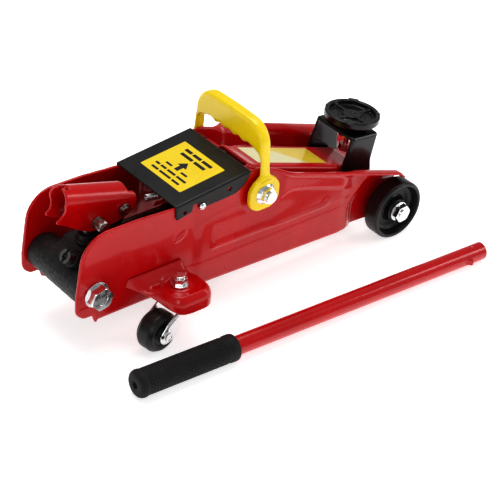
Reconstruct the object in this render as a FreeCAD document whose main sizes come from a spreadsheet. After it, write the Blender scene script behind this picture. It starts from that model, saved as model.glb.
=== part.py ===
# Compact two-tonne hydraulic trolley jack, modelled at its lowest position.
# Jack axes while drawing: X runs along the jack, 0 at the rear cross tube and
# positive towards the lifting saddle; Y runs across it; Z is up from the floor.
# Every finished piece is then moved by one common offset, so that the origin
# of the part is the middle of its footprint on the floor.
import FreeCAD, Part
import os, math
import Sketcher
from FreeCAD import Vector as V, Placement, Rotation

os.makedirs("parts", exist_ok=True)
doc = FreeCAD.newDocument("floor_jack")

# ---------------------------------------------------------------- dimensions
SIZES = [
    ("plate_sheet", 3.0), ("plate_half", 45.5), ("recess_half", 36.6), ("flange_half", 58.5),
    ("top_flange_start", 204.0), ("bottom_flange_half", 33.0),
    ("tube_radius", 18.0), ("rear_bolt_z", 66.6), ("rear_bolt_radius", 6.0), ("rear_tube_half", 42.2),
    ("pivot_x", 190.0), ("pivot_z", 115.0), ("shaft_radius", 7.0), ("stud_radius", 6.0), ("shaft_half", 46.4),
    ("shaft_end_half", 65.0),
    ("axle_x", 374.0), ("wheel_radius", 32.5), ("axle_radius", 6.0), ("wheel_outer", 62.0), ("wheel_inner", 43.5),
    ("axle_half", 70.5), ("hub_radius", 12.5), ("running_fit", 0.06),
    ("arm_half", 24.0), ("arm_sheet", 4.0), ("push_x", 165.0), ("push_z", 70.0), ("push_radius", 7.0),
    ("yoke_x", 342.0), ("yoke_z", 66.0), ("yoke_pin_radius", 6.0), ("yoke_half", 28.5), ("yoke_sheet", 3.5),
    ("link_dx", 8.0), ("link_dz", -28.0), ("link_pin_radius", 5.0), ("link_half", 5.0), ("link_bar", 12.0),
    ("saddle_x", 349.5), ("saddle_radius", 29.0), ("saddle_height", 16.0), ("saddle_stem", 7.0),
    ("cover_sheet", 1.5), ("cover_half", 47.6),
    ("reservoir_radius", 24.0), ("reservoir_wall", 2.5), ("cylinder_outer", 19.0), ("cylinder_bore", 16.0),
    ("ram_radius", 10.0), ("ram_head_radius", 11.0),
    ("pump_x", 22.0), ("plunger_radius", 5.5), ("plunger_pin_z", 120.0), ("plunger_pin_radius", 4.0),
    ("socket_x", 52.0), ("socket_z", 124.0), ("socket_pin_radius", 4.0), ("socket_half", 13.5), ("socket_sheet", 2.5),
    ("socket_length", 86.0),
    ("caster_stem_x", 80.0), ("caster_stem_y", 68.0), ("shelf_z", 60.0), ("shelf_sheet", 3.0), ("caster_stem_radius", 5.0),
    ("caster_radius", 20.5), ("caster_width", 20.0), ("caster_trail", 28.0), ("caster_axle_radius", 3.5),
    ("fork_half", 14.5), ("fork_sheet", 2.5),
    ("bail_half", 55.0), ("bail_leg", 6.5), ("bail_thick", 12.8), ("bail_top_z", 184.0), ("bail_depth", 25.0), ("eye_radius", 19.0),
    ("handle_tube_radius", 9.5), ("handle_tube_bore", 8.2), ("grip_radius", 14.0), ("grip_length", 112.0), ("handle_length", 432.0),
]
sheet = doc.addObject("Spreadsheet::Sheet", "sizes")
for row, (alias, number) in enumerate(SIZES, 1):
    sheet.set("A%d" % row, alias)
    sheet.set("B%d" % row, "%s" % number)
    sheet.setAlias("B%d" % row, alias)
doc.recompute()


class Q(float):
    """A length that remembers the sheet expression it came from."""
    def __new__(cls, number, text):
        q = float.__new__(cls, number)
        q.text = text
        return q
    def __add__(a, b): return Q(float(a) + float(b), "(%s + %s)" % (words(a), words(b)))
    def __radd__(a, b): return Q(float(a) + float(b), "(%s + %s)" % (words(b), words(a)))
    def __sub__(a, b): return Q(float(a) - float(b), "(%s - %s)" % (words(a), words(b)))
    def __rsub__(a, b): return Q(float(b) - float(a), "(%s - %s)" % (words(b), words(a)))
    def __mul__(a, b): return Q(float(a) * float(b), "(%s * %s)" % (words(a), words(b)))
    def __rmul__(a, b): return Q(float(a) * float(b), "(%s * %s)" % (words(b), words(a)))
    def __neg__(a): return Q(-float(a), "(0 - %s)" % words(a))


def words(x):
    return x.text if isinstance(x, Q) else "%.6g" % float(x)


D = {alias: Q(float(sheet.get(alias)), "sizes." + alias) for alias, number in SIZES}
FIT = D["running_fit"]
PX, PZ = D["pivot_x"], D["pivot_z"]
YX, YZ = D["yoke_x"], D["yoke_z"]
AZ = D["wheel_radius"]
LX, LZ = PX + D["link_dx"], PZ + D["link_dz"]
FX, FZ = YX + D["link_dx"], YZ + D["link_dz"]

PIECES = []          # (node name, object), in the order they are drawn


def bind(obj, prop, q):
    if isinstance(q, Q):
        obj.setExpression(prop, q.text)


def keep(obj, name):
    obj.Label = name
    PIECES.append((name, obj))
    return obj


# ------------------------------------------------------------ sketch helpers
def body(name):
    b = doc.addObject("PartDesign::Body", name)
    return b


def plane(b, role):
    for f in b.Origin.OriginFeatures:
        if f.Role == role:
            return f


def sketch(b, role="XZ_Plane"):
    sk = b.newObject("Sketcher::SketchObject", b.Name + "_sketch")
    sk.AttachmentSupport = [(plane(b, role), "")]
    sk.MapMode = "FlatFace"
    return sk


def corner_round(points):
    """Outline of straight runs with tangent arcs; a point is (x, y) or (x, y, radius)."""
    n = len(points)
    P = [V(float(p[0]), float(p[1]), 0) for p in points]
    R = [float(p[2]) if len(p) > 2 else 0.0 for p in points]
    ends = []
    for i in range(n):
        a, c, b = P[i - 1], P[i], P[(i + 1) % n]
        u = (a - c); v = (b - c)
        lu, lv = u.Length, v.Length
        u.normalize(); v.normalize()
        r = R[i]
        ang = math.acos(max(-1.0, min(1.0, u.dot(v))))
        if r <= 0 or ang > math.pi - 0.01:
            ends.append((c, None, c))
            continue
        cut = r / math.tan(ang / 2)
        lim = 0.49 * min(lu, lv)
        if cut > lim:
            cut = lim
            r = cut * math.tan(ang / 2)
        s, e = c + u * cut, c + v * cut
        m = (u + v); m.normalize()
        centre = c + m * (r / math.sin(ang / 2))
        ends.append((s, centre, e))
    out = []
    for i in range(n):
        s, centre, e = ends[i]
        if centre is not None:
            r = (s - centre).Length
            a0 = math.atan2(s.y - centre.y, s.x - centre.x)
            a1 = math.atan2(e.y - centre.y, e.x - centre.x)
            sweep = (a1 - a0 + math.pi) % (2 * math.pi) - math.pi
            lo, hi = (a0, a0 + sweep) if sweep > 0 else (a1, a1 - sweep)
            out.append((Part.ArcOfCircle(Part.Circle(centre, V(0, 0, 1), r), lo, hi), sweep < 0))
        nxt = ends[(i + 1) % n][0]
        if (nxt - e).Length > 1e-6:
            out.append((Part.LineSegment(e, nxt), False))
    return out


def add_outline(sk, points):
    """Closed outline of lines and arcs with coincident ends; arcs that run clockwise are joined the other way round."""
    geo = corner_round(points)
    ids = [sk.addGeometry(g, False) for g, _ in geo]
    n = len(ids)
    sk.addConstraint([Sketcher.Constraint("Coincident", ids[i], 1 if geo[i][1] else 2, ids[(i + 1) % n], 2 if geo[(i + 1) % n][1] else 1) for i in range(n)])
    return ids


def bind_corners(sk, ids, points):
    """Hold every corner of an outline of straight lines at its sheet position."""
    for k, p in zip(ids, points):
        for axis, name in ((0, "DistanceX"), (1, "DistanceY")):
            c = sk.addConstraint(Sketcher.Constraint(name, -1, 1, k, 1, float(p[axis])))
            if isinstance(p[axis], Q):
                sk.setExpression("Constraints[%d]" % c, p[axis].text)


def add_circle(sk, x, y, r):
    g = sk.addGeometry(Part.Circle(V(float(x), float(y), 0), V(0, 0, 1), float(r)), False)
    c = sk.addConstraint(Sketcher.Constraint("Radius", g, float(r)))
    if isinstance(r, Q):
        sk.setExpression("Constraints[%d]" % c, r.text)
    for name, q in (("DistanceX", x), ("DistanceY", y)):
        c = sk.addConstraint(Sketcher.Constraint(name, -1, 1, g, 3, float(q)))
        if isinstance(q, Q):
            sk.setExpression("Constraints[%d]" % c, q.text)
    return g


def pad(b, sk, length, both=True, back=False):
    p = b.newObject("PartDesign::Pad", b.Name + "_pad")
    p.Profile = sk
    p.Length = float(length)
    bind(p, "Length", length)
    p.Midplane = both
    p.Reversed = back
    return p


def pocket(b, sk, length, both=True, back=False):
    p = b.newObject("PartDesign::Pocket", b.Name + "_pocket")
    p.Profile = sk
    p.Length = float(length)
    bind(p, "Length", length)
    p.Midplane = both
    p.Reversed = back
    return p


def turned(name, points, where=None):
    """A turned piece: half profile (radius, height) swung about the piece's own Z axis."""
    b = body(name)
    sk = sketch(b, "XZ_Plane")
    ids = add_outline(sk, points)
    bind_corners(sk, ids, points)
    r = b.newObject("PartDesign::Revolution", b.Name + "_turn")
    r.Profile = sk
    r.ReferenceAxis = (sk, ["V_Axis"])
    r.Angle = 360.0
    if where is not None:
        b.Placement = where
    return keep(b, name)


def flat(name, points, thick, circles=(), where=None, role="XZ_Plane"):
    """A flat or formed piece: outline with holes, padded to both sides of its own mid plane."""
    b = body(name)
    sk = sketch(b, role)
    add_outline(sk, points)
    for c in circles:
        add_circle(sk, *c)
    pad(b, sk, thick)
    if where is not None:
        b.Placement = where
    return keep(b, name)


def cut_outline(b, points, length, both=True, role="XZ_Plane", back=False):
    sk = sketch(b, role)
    add_outline(sk, points)
    return pocket(b, sk, length, both, back)


def cut_circle(b, x, y, r, length, both=True, role="XZ_Plane", back=False):
    sk = sketch(b, role)
    add_circle(sk, x, y, r)
    return pocket(b, sk, length, both, back)


ALONG_Y = Rotation(V(1, 0, 0), -90)      # own Z axis -> +Y
ALONG_NEG_Y = Rotation(V(1, 0, 0), 90)   # own Z axis -> -Y
ALONG_X = Rotation(V(0, 1, 0), 90)       # own Z axis -> +X


def at(x, y, z, rot=Rotation()):
    return Placement(V(float(x), float(y), float(z)), rot)


def face_of(points):
    return Part.Face(Part.Wire([g.toShape() for g, _ in corner_round(points)]))


def side_prism(points, y0, y1):
    """Solid from an outline in the X-Z plane between two Y positions."""
    f = face_of(points)
    f.rotate(V(0, 0, 0), V(1, 0, 0), 90)          # (x, y) -> (x, 0, z)
    f.translate(V(0, min(y0, y1), 0))
    return f.extrude(V(0, abs(y1 - y0), 0))


def plan_prism(points, z0, z1):
    f = face_of(points)
    f.translate(V(0, 0, z0))
    return f.extrude(V(0, 0, z1 - z0))


def solid_cyl(r, length, base, direction):
    return Part.makeCylinder(float(r), float(length), V(*[float(k) for k in base]), V(*direction))


def hexagon(across_flats, turn=0.0):
    rad = float(across_flats) / math.sqrt(3)
    return [(rad * math.cos(math.radians(60 * k + turn)), rad * math.sin(math.radians(60 * k + turn))) for k in range(6)]


def hex_prism(across_flats, length, base, direction, turn=0.0, bore=0.0):
    """Hexagon with chamfered corners on its outer end, standing on base along direction."""
    rad = float(across_flats) / math.sqrt(3)
    s = Part.Face(Part.makePolygon([V(a, b, 0) for a, b in hexagon(across_flats, turn) + hexagon(across_flats, turn)[:1]]))
    s = s.extrude(V(0, 0, float(length)))
    cone = Part.makeCone(rad + float(length) * 1.0 - 0.9, rad - 0.9, float(length) + 0.0)
    s = s.common(cone) if float(length) < rad else s.common(
        Part.makeCylinder(rad, float(length) - 1.2).fuse(Part.makeCone(rad, rad - 1.0, 1.2, V(0, 0, float(length) - 1.2))))
    if bore:
        s = s.cut(Part.makeCylinder(float(bore), float(length) + 2, V(0, 0, -1)))
    s.Placement = Placement(V(*[float(k) for k in base]), Rotation(V(0, 0, 1), V(*direction)))
    return s


def feature(name, shape, where=None):
    f = doc.addObject("Part::Feature", name)
    if isinstance(shape, (list, tuple)):
        shape = Part.makeCompound(list(shape))
    f.Shape = shape
    if where is not None:
        f.Placement = where
    return keep(f, name)


def mirrored_y(shape):
    return shape.mirror(V(0, 0, 0), V(0, 1, 0))


# ================================================================ main frame
# Side plates: pressed sheet with an outward flange along the falling top edge,
# a step inwards beside the front wheel and an inward flange along the bottom.
OUTLINE = [(0, 33.2, 2), (-3, 42.3, 3), (-13, 42.3, 9), (-22, 50, 12), (-22.3, 68, 20), (-15.5, 132.8, 31),
           (45, 132.4, 60), (86, 129.7), (186, 140.4, 8), (375, 77.2, 9), (386, 66, 9), (392, 34, 16), (384, 14, 16), (345, 18.5, 20),
           (131, 27, 60), (60, 33.2, 50)]


def plan_path(outer):
    """Distance of the sheet's outer face from the middle, along the jack, seen from above."""
    h, w = float(D["plate_half"]), float(D["recess_half"])
    return [(-60, outer(h)), (317, outer(h)), (337, outer(w)), (430, outer(w))]


def side_plate(side):
    t = float(D["plate_sheet"])
    wall_out = [(x, -y) for x, y in plan_path(lambda k: k)]
    # inner line: the same path moved in by the sheet thickness, square to the sheet
    a = math.atan2(float(D["plate_half"]) - float(D["recess_half"]), 20.0)
    s = t * math.tan(a / 2)
    h, w = float(D["plate_half"]), float(D["recess_half"])
    wall_in = [(430, -(w - t)), (337 - s, -(w - t)), (317 - s, -(h - t)), (-60, -(h - t))]
    curtain = plan_prism([wall_out[0], (317, -h, 12), (337, -w, 8), wall_out[3],
                          wall_in[0], (337 - s, -(w - t), 11), (317 - s, -(h - t), 9), wall_in[3]], -10, 200)
    wall = curtain.common(side_prism(OUTLINE, -80, 0))
    inside = plan_prism([(-60, -(h - t)), (317 - s, -(h - t), 9), (337 - s, -(w - t), 11), (430, -(w - t)), (430, 20), (-60, 20)], -20, 220)
    # outward flange along the top, tapered in at its rear end, bent down over the nose
    zt = lambda x: 140.4 - (140.4 - 77.2) / (375 - 186) * (x - 186)
    x0 = float(D["top_flange_start"])
    strip = side_prism([(x0, zt(x0)), (375, 77.2, 9), (382.5, 69.6), (380.2, 67.6), (373.8, 74.1, 6), (x0, zt(x0) - t * 1.055)], -float(D["flange_half"]), 0)
    strip = strip.common(plan_prism([(x0, -(h - 1)), (x0 + 26, -float(D["flange_half"]), 20), (384, -float(D["flange_half"]), 5), (384, 0), (x0, 0)], 0, 200))
    strip = strip.cut(inside)
    # inward flange along the bottom
    foot = side_prism([(1, 33.2), (60, 33.2, 50), (131, 27, 60), (335, 18.9), (335, 18.9 + t), (131, 27 + t, 60), (60, 33.2 + t, 50), (1, 33.2 + t)], -80, 0)
    foot = foot.common(plan_prism([(1, -(h - t + 0.5)), (317 - s, -(h - t + 0.5)), (328, -38), (322, -float(D["bottom_flange_half"]), 4),
                                   (6, -float(D["bottom_flange_half"]), 5)], 0, 200))
    plate = wall.fuse([strip, foot]).removeSplitter()
    for x, z, r in ((0, D["rear_bolt_z"], D["rear_bolt_radius"] + 0.1), (PX, PZ, D["shaft_radius"] + 0.02), (D["axle_x"], AZ, D["axle_radius"] + 0.02)):
        plate = plate.cut(solid_cyl(r, 120, (x, -90, z), (0, 1, 0)))
    for x in (118.3,):
        plate = plate.cut(solid_cyl(1.8, 60, (x, -70, 122.3), (0, 1, 0)))
    return plate if side == "right" else mirrored_y(plate)


feature("side_plate_right", side_plate("right"))
feature("side_plate_left", side_plate("left"))

# Folded black cover over the rear of the two plates
COVER = [(86.5, 131.5, 1.2), (177, 142.0, 2), (176, 137, 5), (169.5, 127, 10), (158, 120.9, 8), (115.5, 118.8, 2), (113.2, 126.5, 1.5),
         (108.6, 126.5, 1.5), (107.2, 119.2, 2), (88, 114.8, 3)]
b = body("cover_plate")
sk = sketch(b); add_outline(sk, COVER)
pad(b, sk, D["cover_half"] * 2)
t = float(D["cover_sheet"])
cut_outline(b, [(80, 129.4), (80, 131.5 - t - 0.75), (180, 131.5 - t + 0.1162 * 93.5 - 0.02), (190, 100), (80, 100)], (D["cover_half"] - D["cover_sheet"]) * 2)
for x, z, r in ((118.3, 122.3, 2.1),):
    cut_circle(b, x, z, r, 200)
keep(b, "cover_plate")

screws = []
for sgn in (-1, 1):
    y = sgn * (float(D["cover_half"]) + 0.05)
    head = Part.makeSphere(4.2, V(0, 0, 0)).common(Part.makeBox(10, 10, 2.0, V(-5, -5, 0)))
    head = Part.makeCylinder(3.7, 2.2).common(Part.makeSphere(5.0, V(0, 0, -2.6)))
    head = head.fuse(Part.makeCylinder(1.7, 6.4, V(0, 0, -6.4)))
    head = head.cut(Part.makeBox(5, 0.8, 1.0, V(-2.5, -0.4, 1.7))).cut(Part.makeBox(0.8, 5, 1.0, V(-0.4, -2.5, 1.7)))
    head.Placement = Placement(V(118.3, y, 122.3), Rotation(V(0, 0, 1), V(0, sgn, 0)))
    screws.append(head)
feature("cover_screws", screws)

# Label on the cover and the reflective strip on the arm: thin stuck-on films
slope = math.degrees(math.atan2(142.0 - 131.5, 90.5))
lab = doc.addObject("Part::Box", "cover_label")
lab.Length, lab.Width, lab.Height = 54, 62, 0.3
lab.Placement = Placement(V(103.5, -31, 131.5 + 0.02 + 17.0 * math.tan(math.radians(slope))), Rotation(V(0, 1, 0), -slope))
keep(lab, "cover_label")

# ============================================================ hydraulic unit
RZ = D["rear_bolt_z"]
b = body("power_unit_casting")
sk = sketch(b); add_circle(sk, 0, RZ, D["tube_radius"]); pad(b, sk, D["rear_tube_half"] * 2)
sk = sketch(b); add_outline(sk, [(4, 50, 4), (34.8, 46, 3), (34.8, 90.4, 3), (31, 92.6, 2), (10, 91.5, 4), (4, 84, 4)]); pad(b, sk, 46)
sk = sketch(b); add_outline(sk, [(34.0, 86), (34.0, 104, 6), (44.3, 131, 7.5), (60, 131, 7.5), (60, 116, 7), (44, 92.0, 3), (34.6, 91.4)]); pad(b, sk, 20.4)
sk = sketch(b); add_outline(sk, [(24, 60, 3), (34.5, 60, 3), (34.5, 76, 3), (24, 76, 3)]); pad(b, sk, 74)
cut_circle(b, 0, RZ, D["rear_bolt_radius"] + 0.1, 200)
cut_circle(b, D["socket_x"], D["socket_z"], D["socket_pin_radius"] + 0.02, 60)
cut_circle(b, D["pump_x"], 0, D["plunger_radius"] + FIT, 50, both=False, role="XY_Plane", back=False)
sk = b.Tip.Profile[0] if isinstance(b.Tip.Profile, tuple) else b.Tip.Profile
sk.AttachmentOffset = Placement(V(0, 0, 95), Rotation())
cut_circle(b, 0, 0, 8.52, 30, both=False, role="XY_Plane", back=False)
sk = b.Tip.Profile[0] if isinstance(b.Tip.Profile, tuple) else b.Tip.Profile
sk.AttachmentOffset = at(1.5 - 0.82 * 30, -16, 86.2 + 0.57 * 30, Rotation(V(0, 0, 1), V(-0.82, 0, 0.57)))
keep(b, "power_unit_casting")

turned("pump_barrel", [(D["plunger_radius"] + FIT, 0), (11.5, 0), (11.5, 3), (9.5, 4), (9.5, 9), (D["plunger_radius"] + FIT, 9)], at(D["pump_x"], 0, 92.7))

# plunger: round rod with a flat eye slotted along the jack
b = body("pump_plunger")
sk = sketch(b, "XY_Plane"); add_circle(sk, D["pump_x"], 0, D["plunger_radius"])
p = pad(b, sk, 54, both=False); sk.AttachmentOffset = Placement(V(0, 0, 62), Rotation())
sk = sketch(b); add_outline(sk, [(11, 112.5, 5), (33, 112.5, 5), (33, 127.6, 5), (11, 127.6, 5)]); pad(b, sk, 14)
cut_outline(b, [(14.2, 115.3, 4.6), (29.6, 115.3, 4.6), (29.6, 124.7, 4.6), (14.2, 124.7, 4.6)], 40)
keep(b, "pump_plunger")

RW = D["reservoir_wall"]
turned("reservoir_tube", [(D["reservoir_radius"] - RW, 0), (D["reservoir_radius"], 0), (D["reservoir_radius"], 92), (D["reservoir_radius"] - RW, 92)], at(35, 0, RZ, ALONG_X))
turned("pressure_cylinder", [(D["cylinder_bore"], 0), (D["cylinder_outer"], 0), (D["cylinder_outer"], 92), (D["cylinder_bore"], 92)], at(35, 0, RZ, ALONG_X))
b = body("gland_nut")
sk = sketch(b, "XY_Plane"); add_outline(sk, hexagon(50.0, 0)); pad(b, sk, 9, both=False)
sk = sketch(b, "XY_Plane"); add_circle(sk, 0, 0, D["ram_radius"] + FIT); pocket(b, sk, 20, both=False, back=True)
b.Placement = at(127.2, 0, RZ, ALONG_X)
keep(b, "gland_nut")
turned("ram", [(0, 0), (D["cylinder_bore"] - FIT, 0), (D["cylinder_bore"] - FIT, 10), (D["ram_radius"], 12), (D["ram_radius"], 97), (0, 97)], at(50, 0, RZ, ALONG_X))
turned("ram_head", [(0, 0), (D["ram_head_radius"], 0), (D["ram_head_radius"], 9.6), (D["ram_head_radius"] - 1, 10.6), (0, 10.6)], at(147, 0, RZ, ALONG_X))
turned("filler_plug", [(0, 0), (4.5, 0), (5.5, 1.2), (4.5, 3.2), (0, 3.8)], at(86, 0, RZ + D["reservoir_radius"] + 0.05))

# release valve: notched stem in a threaded boss at the rear of the casting
b = body("release_valve_boss")
sk = sketch(b, "XY_Plane"); add_circle(sk, 0, 0, 8.5); add_circle(sk, 0, 0, 4.0 + FIT); pad(b, sk, 12, both=False)
VALVE = at(1.5, -16, 86.2, Rotation(V(0, 0, 1), V(-0.82, 0, 0.57)))
b.Placement = VALVE
keep(b, "release_valve_boss")
b = body("release_valve")
sk = sketch(b, "XY_Plane"); add_circle(sk, 0, 0, 4.0); pad(b, sk, 12.4, both=False)
sk = sketch(b, "XY_Plane"); add_circle(sk, 0, 0, 6.8); pad(b, sk, 7.5, both=False); sk.AttachmentOffset = Placement(V(0, 0, 12.4), Rotation())
sk = sketch(b, "XY_Plane"); add_circle(sk, 0, 0, 3.6); pocket(b, sk, 4.5, both=False); sk.AttachmentOffset = Placement(V(0, 0, 19.9), Rotation())
sk = sketch(b, "XY_Plane"); add_outline(sk, [(-10, -1.3), (10, -1.3), (10, 1.3), (-10, 1.3)]); pocket(b, sk, 4.5, both=False); sk.AttachmentOffset = Placement(V(0, 0, 19.9), Rotation())
b.Placement = VALVE
keep(b, "release_valve")

# rear bolts and washers
bolts, washers = [], []
for sgn in (-1, 1):
    h = float(D["plate_half"])
    w = Part.makeCylinder(13.2, 1.8).cut(Part.makeCylinder(6.3, 4, V(0, 0, -1)))
    w.Placement = Placement(V(0, sgn * (h + 0.05), float(RZ)), Rotation(V(0, 0, 1), V(0, sgn, 0)))
    washers.append(w)
    s = hex_prism(21, 9.4, (0, 0, 0), (0, 0, 1), 12).fuse(Part.makeCylinder(float(D["rear_bolt_radius"]), 27, V(0, 0, -27)))
    s = s.cut(Part.makeCylinder(5.6, 1, V(0, 0, 8.8)))
    s.Placement = Placement(V(0, sgn * (h + 1.9), float(RZ)), Rotation(V(0, 0, 1), V(0, sgn, 0)))
    bolts.append(s)
feature("rear_bolts", bolts)
feature("rear_washers", washers)

# ============================================================= handle socket
TILT = 15.6
SA = math.radians(TILT)
# own axes: x runs from the mouth to the front end along the handle bore, z square to it
MOUTH = V(-13.2, 0, 149.6)
b = body("handle_socket")
sk = sketch(b, "YZ_Plane")
ro, ri, dep = D["socket_half"], D["socket_half"] - D["socket_sheet"], 34.0
for g in (Part.ArcOfCircle(Part.Circle(V(0, 0, 0), V(0, 0, 1), float(ro)), 0, math.pi), Part.LineSegment(V(-float(ro), 0, 0), V(-float(ro), -dep, 0)),
          Part.LineSegment(V(-float(ro), -dep, 0), V(-float(ri), -dep, 0)), Part.LineSegment(V(-float(ri), -dep, 0), V(-float(ri), 0, 0)),
          Part.ArcOfCircle(Part.Circle(V(0, 0, 0), V(0, 0, 1), float(ri)), 0, math.pi), Part.LineSegment(V(float(ri), 0, 0), V(float(ri), -dep, 0)),
          Part.LineSegment(V(float(ri), -dep, 0), V(float(ro), -dep, 0)), Part.LineSegment(V(float(ro), -dep, 0), V(float(ro), 0, 0))):
    sk.addGeometry(g, False)
C = Sketcher.Constraint
sk.addConstraint([C("Coincident", 0, 2, 1, 1), C("Coincident", 1, 2, 2, 1), C("Coincident", 2, 2, 3, 1), C("Coincident", 3, 2, 4, 2),
                  C("Coincident", 4, 1, 5, 1), C("Coincident", 5, 2, 6, 1), C("Coincident", 6, 2, 7, 1), C("Coincident", 7, 2, 0, 1),
                  C("Vertical", 1), C("Vertical", 3), C("Vertical", 5), C("Vertical", 7), C("Horizontal", 2), C("Horizontal", 6),
                  C("Coincident", 0, 3, -1, 1), C("Coincident", 4, 3, -1, 1)])
c = sk.addConstraint(C("Radius", 0, float(ro))); sk.setExpression("Constraints[%d]" % c, ro.text)
c = sk.addConstraint(C("Radius", 4, float(ri))); sk.setExpression("Constraints[%d]" % c, ri.text)
pad(b, sk, D["socket_length"], both=False)


def to_socket(x, z):
    dx, dz = x - MOUTH.x, z - MOUTH.z
    return (dx * math.cos(SA) - dz * math.sin(SA), dx * math.sin(SA) + dz * math.cos(SA))


# lower edge and stepped front end, cut square across
low = [to_socket(*q) for q in ((-22.5, 131.5), (-13.5, 126.8), (3.5, 117.2), (14, 112), (26, 110), (44, 111.5), (62, 118.5), (66.5, 124.5), (67.2, 136.3), (59.5, 138.0), (58.5, 145.2), (56, 153))]
cutter = [(-30, -60), (-30, low[0][1] + 1)] + [low[0]] + [(q[0], q[1], 4) for q in low[1:]] + [(low[-1][0], 40), (140, 40), (140, -60)]
cut_outline(b, cutter, 60)
# slanted slot in the rim of the mouth
cut_outline(b, [(-2, 5), (7, 5, 2), (7, 20), (-2, 20)], 5.2)
for x, z, r in ((D["socket_x"], D["socket_z"], D["socket_pin_radius"] + FIT), (D["pump_x"], D["plunger_pin_z"], D["plunger_pin_radius"] + 0.02)):
    lx, lz = to_socket(float(x), float(z))
    cut_circle(b, lx, lz, r, 60)
b.Placement = Placement(MOUTH, Rotation(V(0, 1, 0), TILT))
keep(b, "handle_socket")


def pin(name, radius, y0, y1, x, z):
    c = doc.addObject("Part::Cylinder", name)
    c.Radius = float(radius); bind(c, "Radius", radius)
    c.Height = float(y1) - float(y0)
    if isinstance(y1, Q):
        c.setExpression("Height", (y1 - y0).text)
    c.Placement = at(x, y0, z, ALONG_Y)
    return keep(c, name)


pin("socket_pivot_pin", D["socket_pin_radius"], -18.5, 18.5, D["socket_x"], D["socket_z"])
pin("plunger_pin", D["plunger_pin_radius"], -27.0, 17.0, D["pump_x"], D["plunger_pin_z"])


def ring(R, r, centre, axis):
    s = Part.makeTorus(R, r)
    s.Placement = Placement(V(*centre), Rotation(V(0, 0, 1), V(*axis)))
    return s


def washer(ro_, ri_, th, base, direction):
    s = Part.makeCylinder(float(ro_), float(th)).cut(Part.makeCylinder(float(ri_), float(th) + 2, V(0, 0, -1)))
    s.Placement = Placement(V(*[float(k) for k in base]), Rotation(V(0, 0, 1), V(*direction)))
    return s


# retaining nut, washers and coils on the two socket pins; each set moves with its pin's body
feature("plunger_pin_nut", [hex_prism(11, 4.2, (22, -21.6, 120), (0, -1, 0), 10, bore=4.04), washer(6.4, 4.04, 1.0, (22, -14.0, 120), (0, -1, 0)),
                            washer(5.6, 4.04, 5.6, (22, -15.4, 120), (0, -1, 0)), washer(6.2, 4.04, 1.6, (22, 14.2, 120), (0, 1, 0))])
feature("socket_pin_clips", [washer(6.2, 4.04, 1.6, (52, -14.4, 124), (0, -1, 0)), washer(6.2, 4.04, 1.6, (52, 14.4, 124), (0, 1, 0))])


def coil_tube(radius, wire, length, turns):
    """Closed sleeve that stands for a wound spring: a tube of the coil's outer size."""
    return Part.makeCylinder(radius, length).cut(Part.makeCylinder(radius - wire, length + 2, V(0, 0, -1)))


s = coil_tube(3.4, 1.2, 16, 9)
s.Placement = Placement(V(83.0, -7.5, 122.5), Rotation(V(0, 0, 1), V(20.0, 0, -3.6)))
feature("socket_return_spring", s)

# ================================================================ lift arm
zt = lambda x: 123.0 - 0.34 * (x - 210.0)
ARM = [(170.5, 128, 16), (196, 129.2, 10), (205, zt(205)), (350, zt(350), 9), (357.5, 57, 11), (340, 50.0, 13), (232, 90, 40), (196, 84, 18), (181, 58, 12),
       (157, 55.5, 12), (150.5, 72, 12)]
b = body("lift_arm")
sk = sketch(b); add_outline(sk, ARM)
for x, z, r in ((PX, PZ, D["shaft_radius"] + FIT), (D["push_x"], D["push_z"], D["push_radius"] + 0.02), (YX, YZ, D["yoke_pin_radius"] + FIT)):
    add_circle(sk, x, z, r)
pad(b, sk, D["arm_half"] * 2)
ts = float(D["arm_sheet"])
cut_outline(b, [(140, 20), (140, 160), (195, 160), (195, zt(195) - ts * 1.056, 5), (400, zt(400) - ts * 1.056), (400, 20)], (D["arm_half"] - D["arm_sheet"]) * 2)
keep(b, "lift_arm")
sl = math.degrees(math.atan(0.34))
lab = doc.addObject("Part::Box", "arm_label")
lab.Length, lab.Width, lab.Height = 99, 33, 0.3
lab.Placement = Placement(V(212.0, -16.5, zt(212.0) + 0.04), Rotation(V(0, 1, 0), sl))
keep(lab, "arm_label")

turned("arm_push_pin", [(0, -37), (4, -37), (4, -24.3), (D["push_radius"], -24.2), (D["push_radius"], 24.2), (4, 24.3), (4, 37), (0, 37)], at(D["push_x"], 0, D["push_z"], ALONG_Y))
turned("arm_pivot_shaft", [(0, -D["shaft_end_half"]), (D["stud_radius"], -D["shaft_end_half"]), (D["stud_radius"], -D["shaft_half"]), (D["shaft_radius"], -D["shaft_half"]),
                           (D["shaft_radius"], D["shaft_half"]), (D["stud_radius"], D["shaft_half"]), (D["stud_radius"], D["shaft_end_half"]), (0, D["shaft_end_half"])],
       at(PX, 0, PZ, ALONG_Y))
sp = []
for sgn in (-1, 1):
    sp.append(washer(12, float(D["shaft_radius"]) + 0.02, 17.9, (PX, sgn * 24.3, PZ), (0, sgn, 0)))
feature("pivot_spacers", sp)

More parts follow.
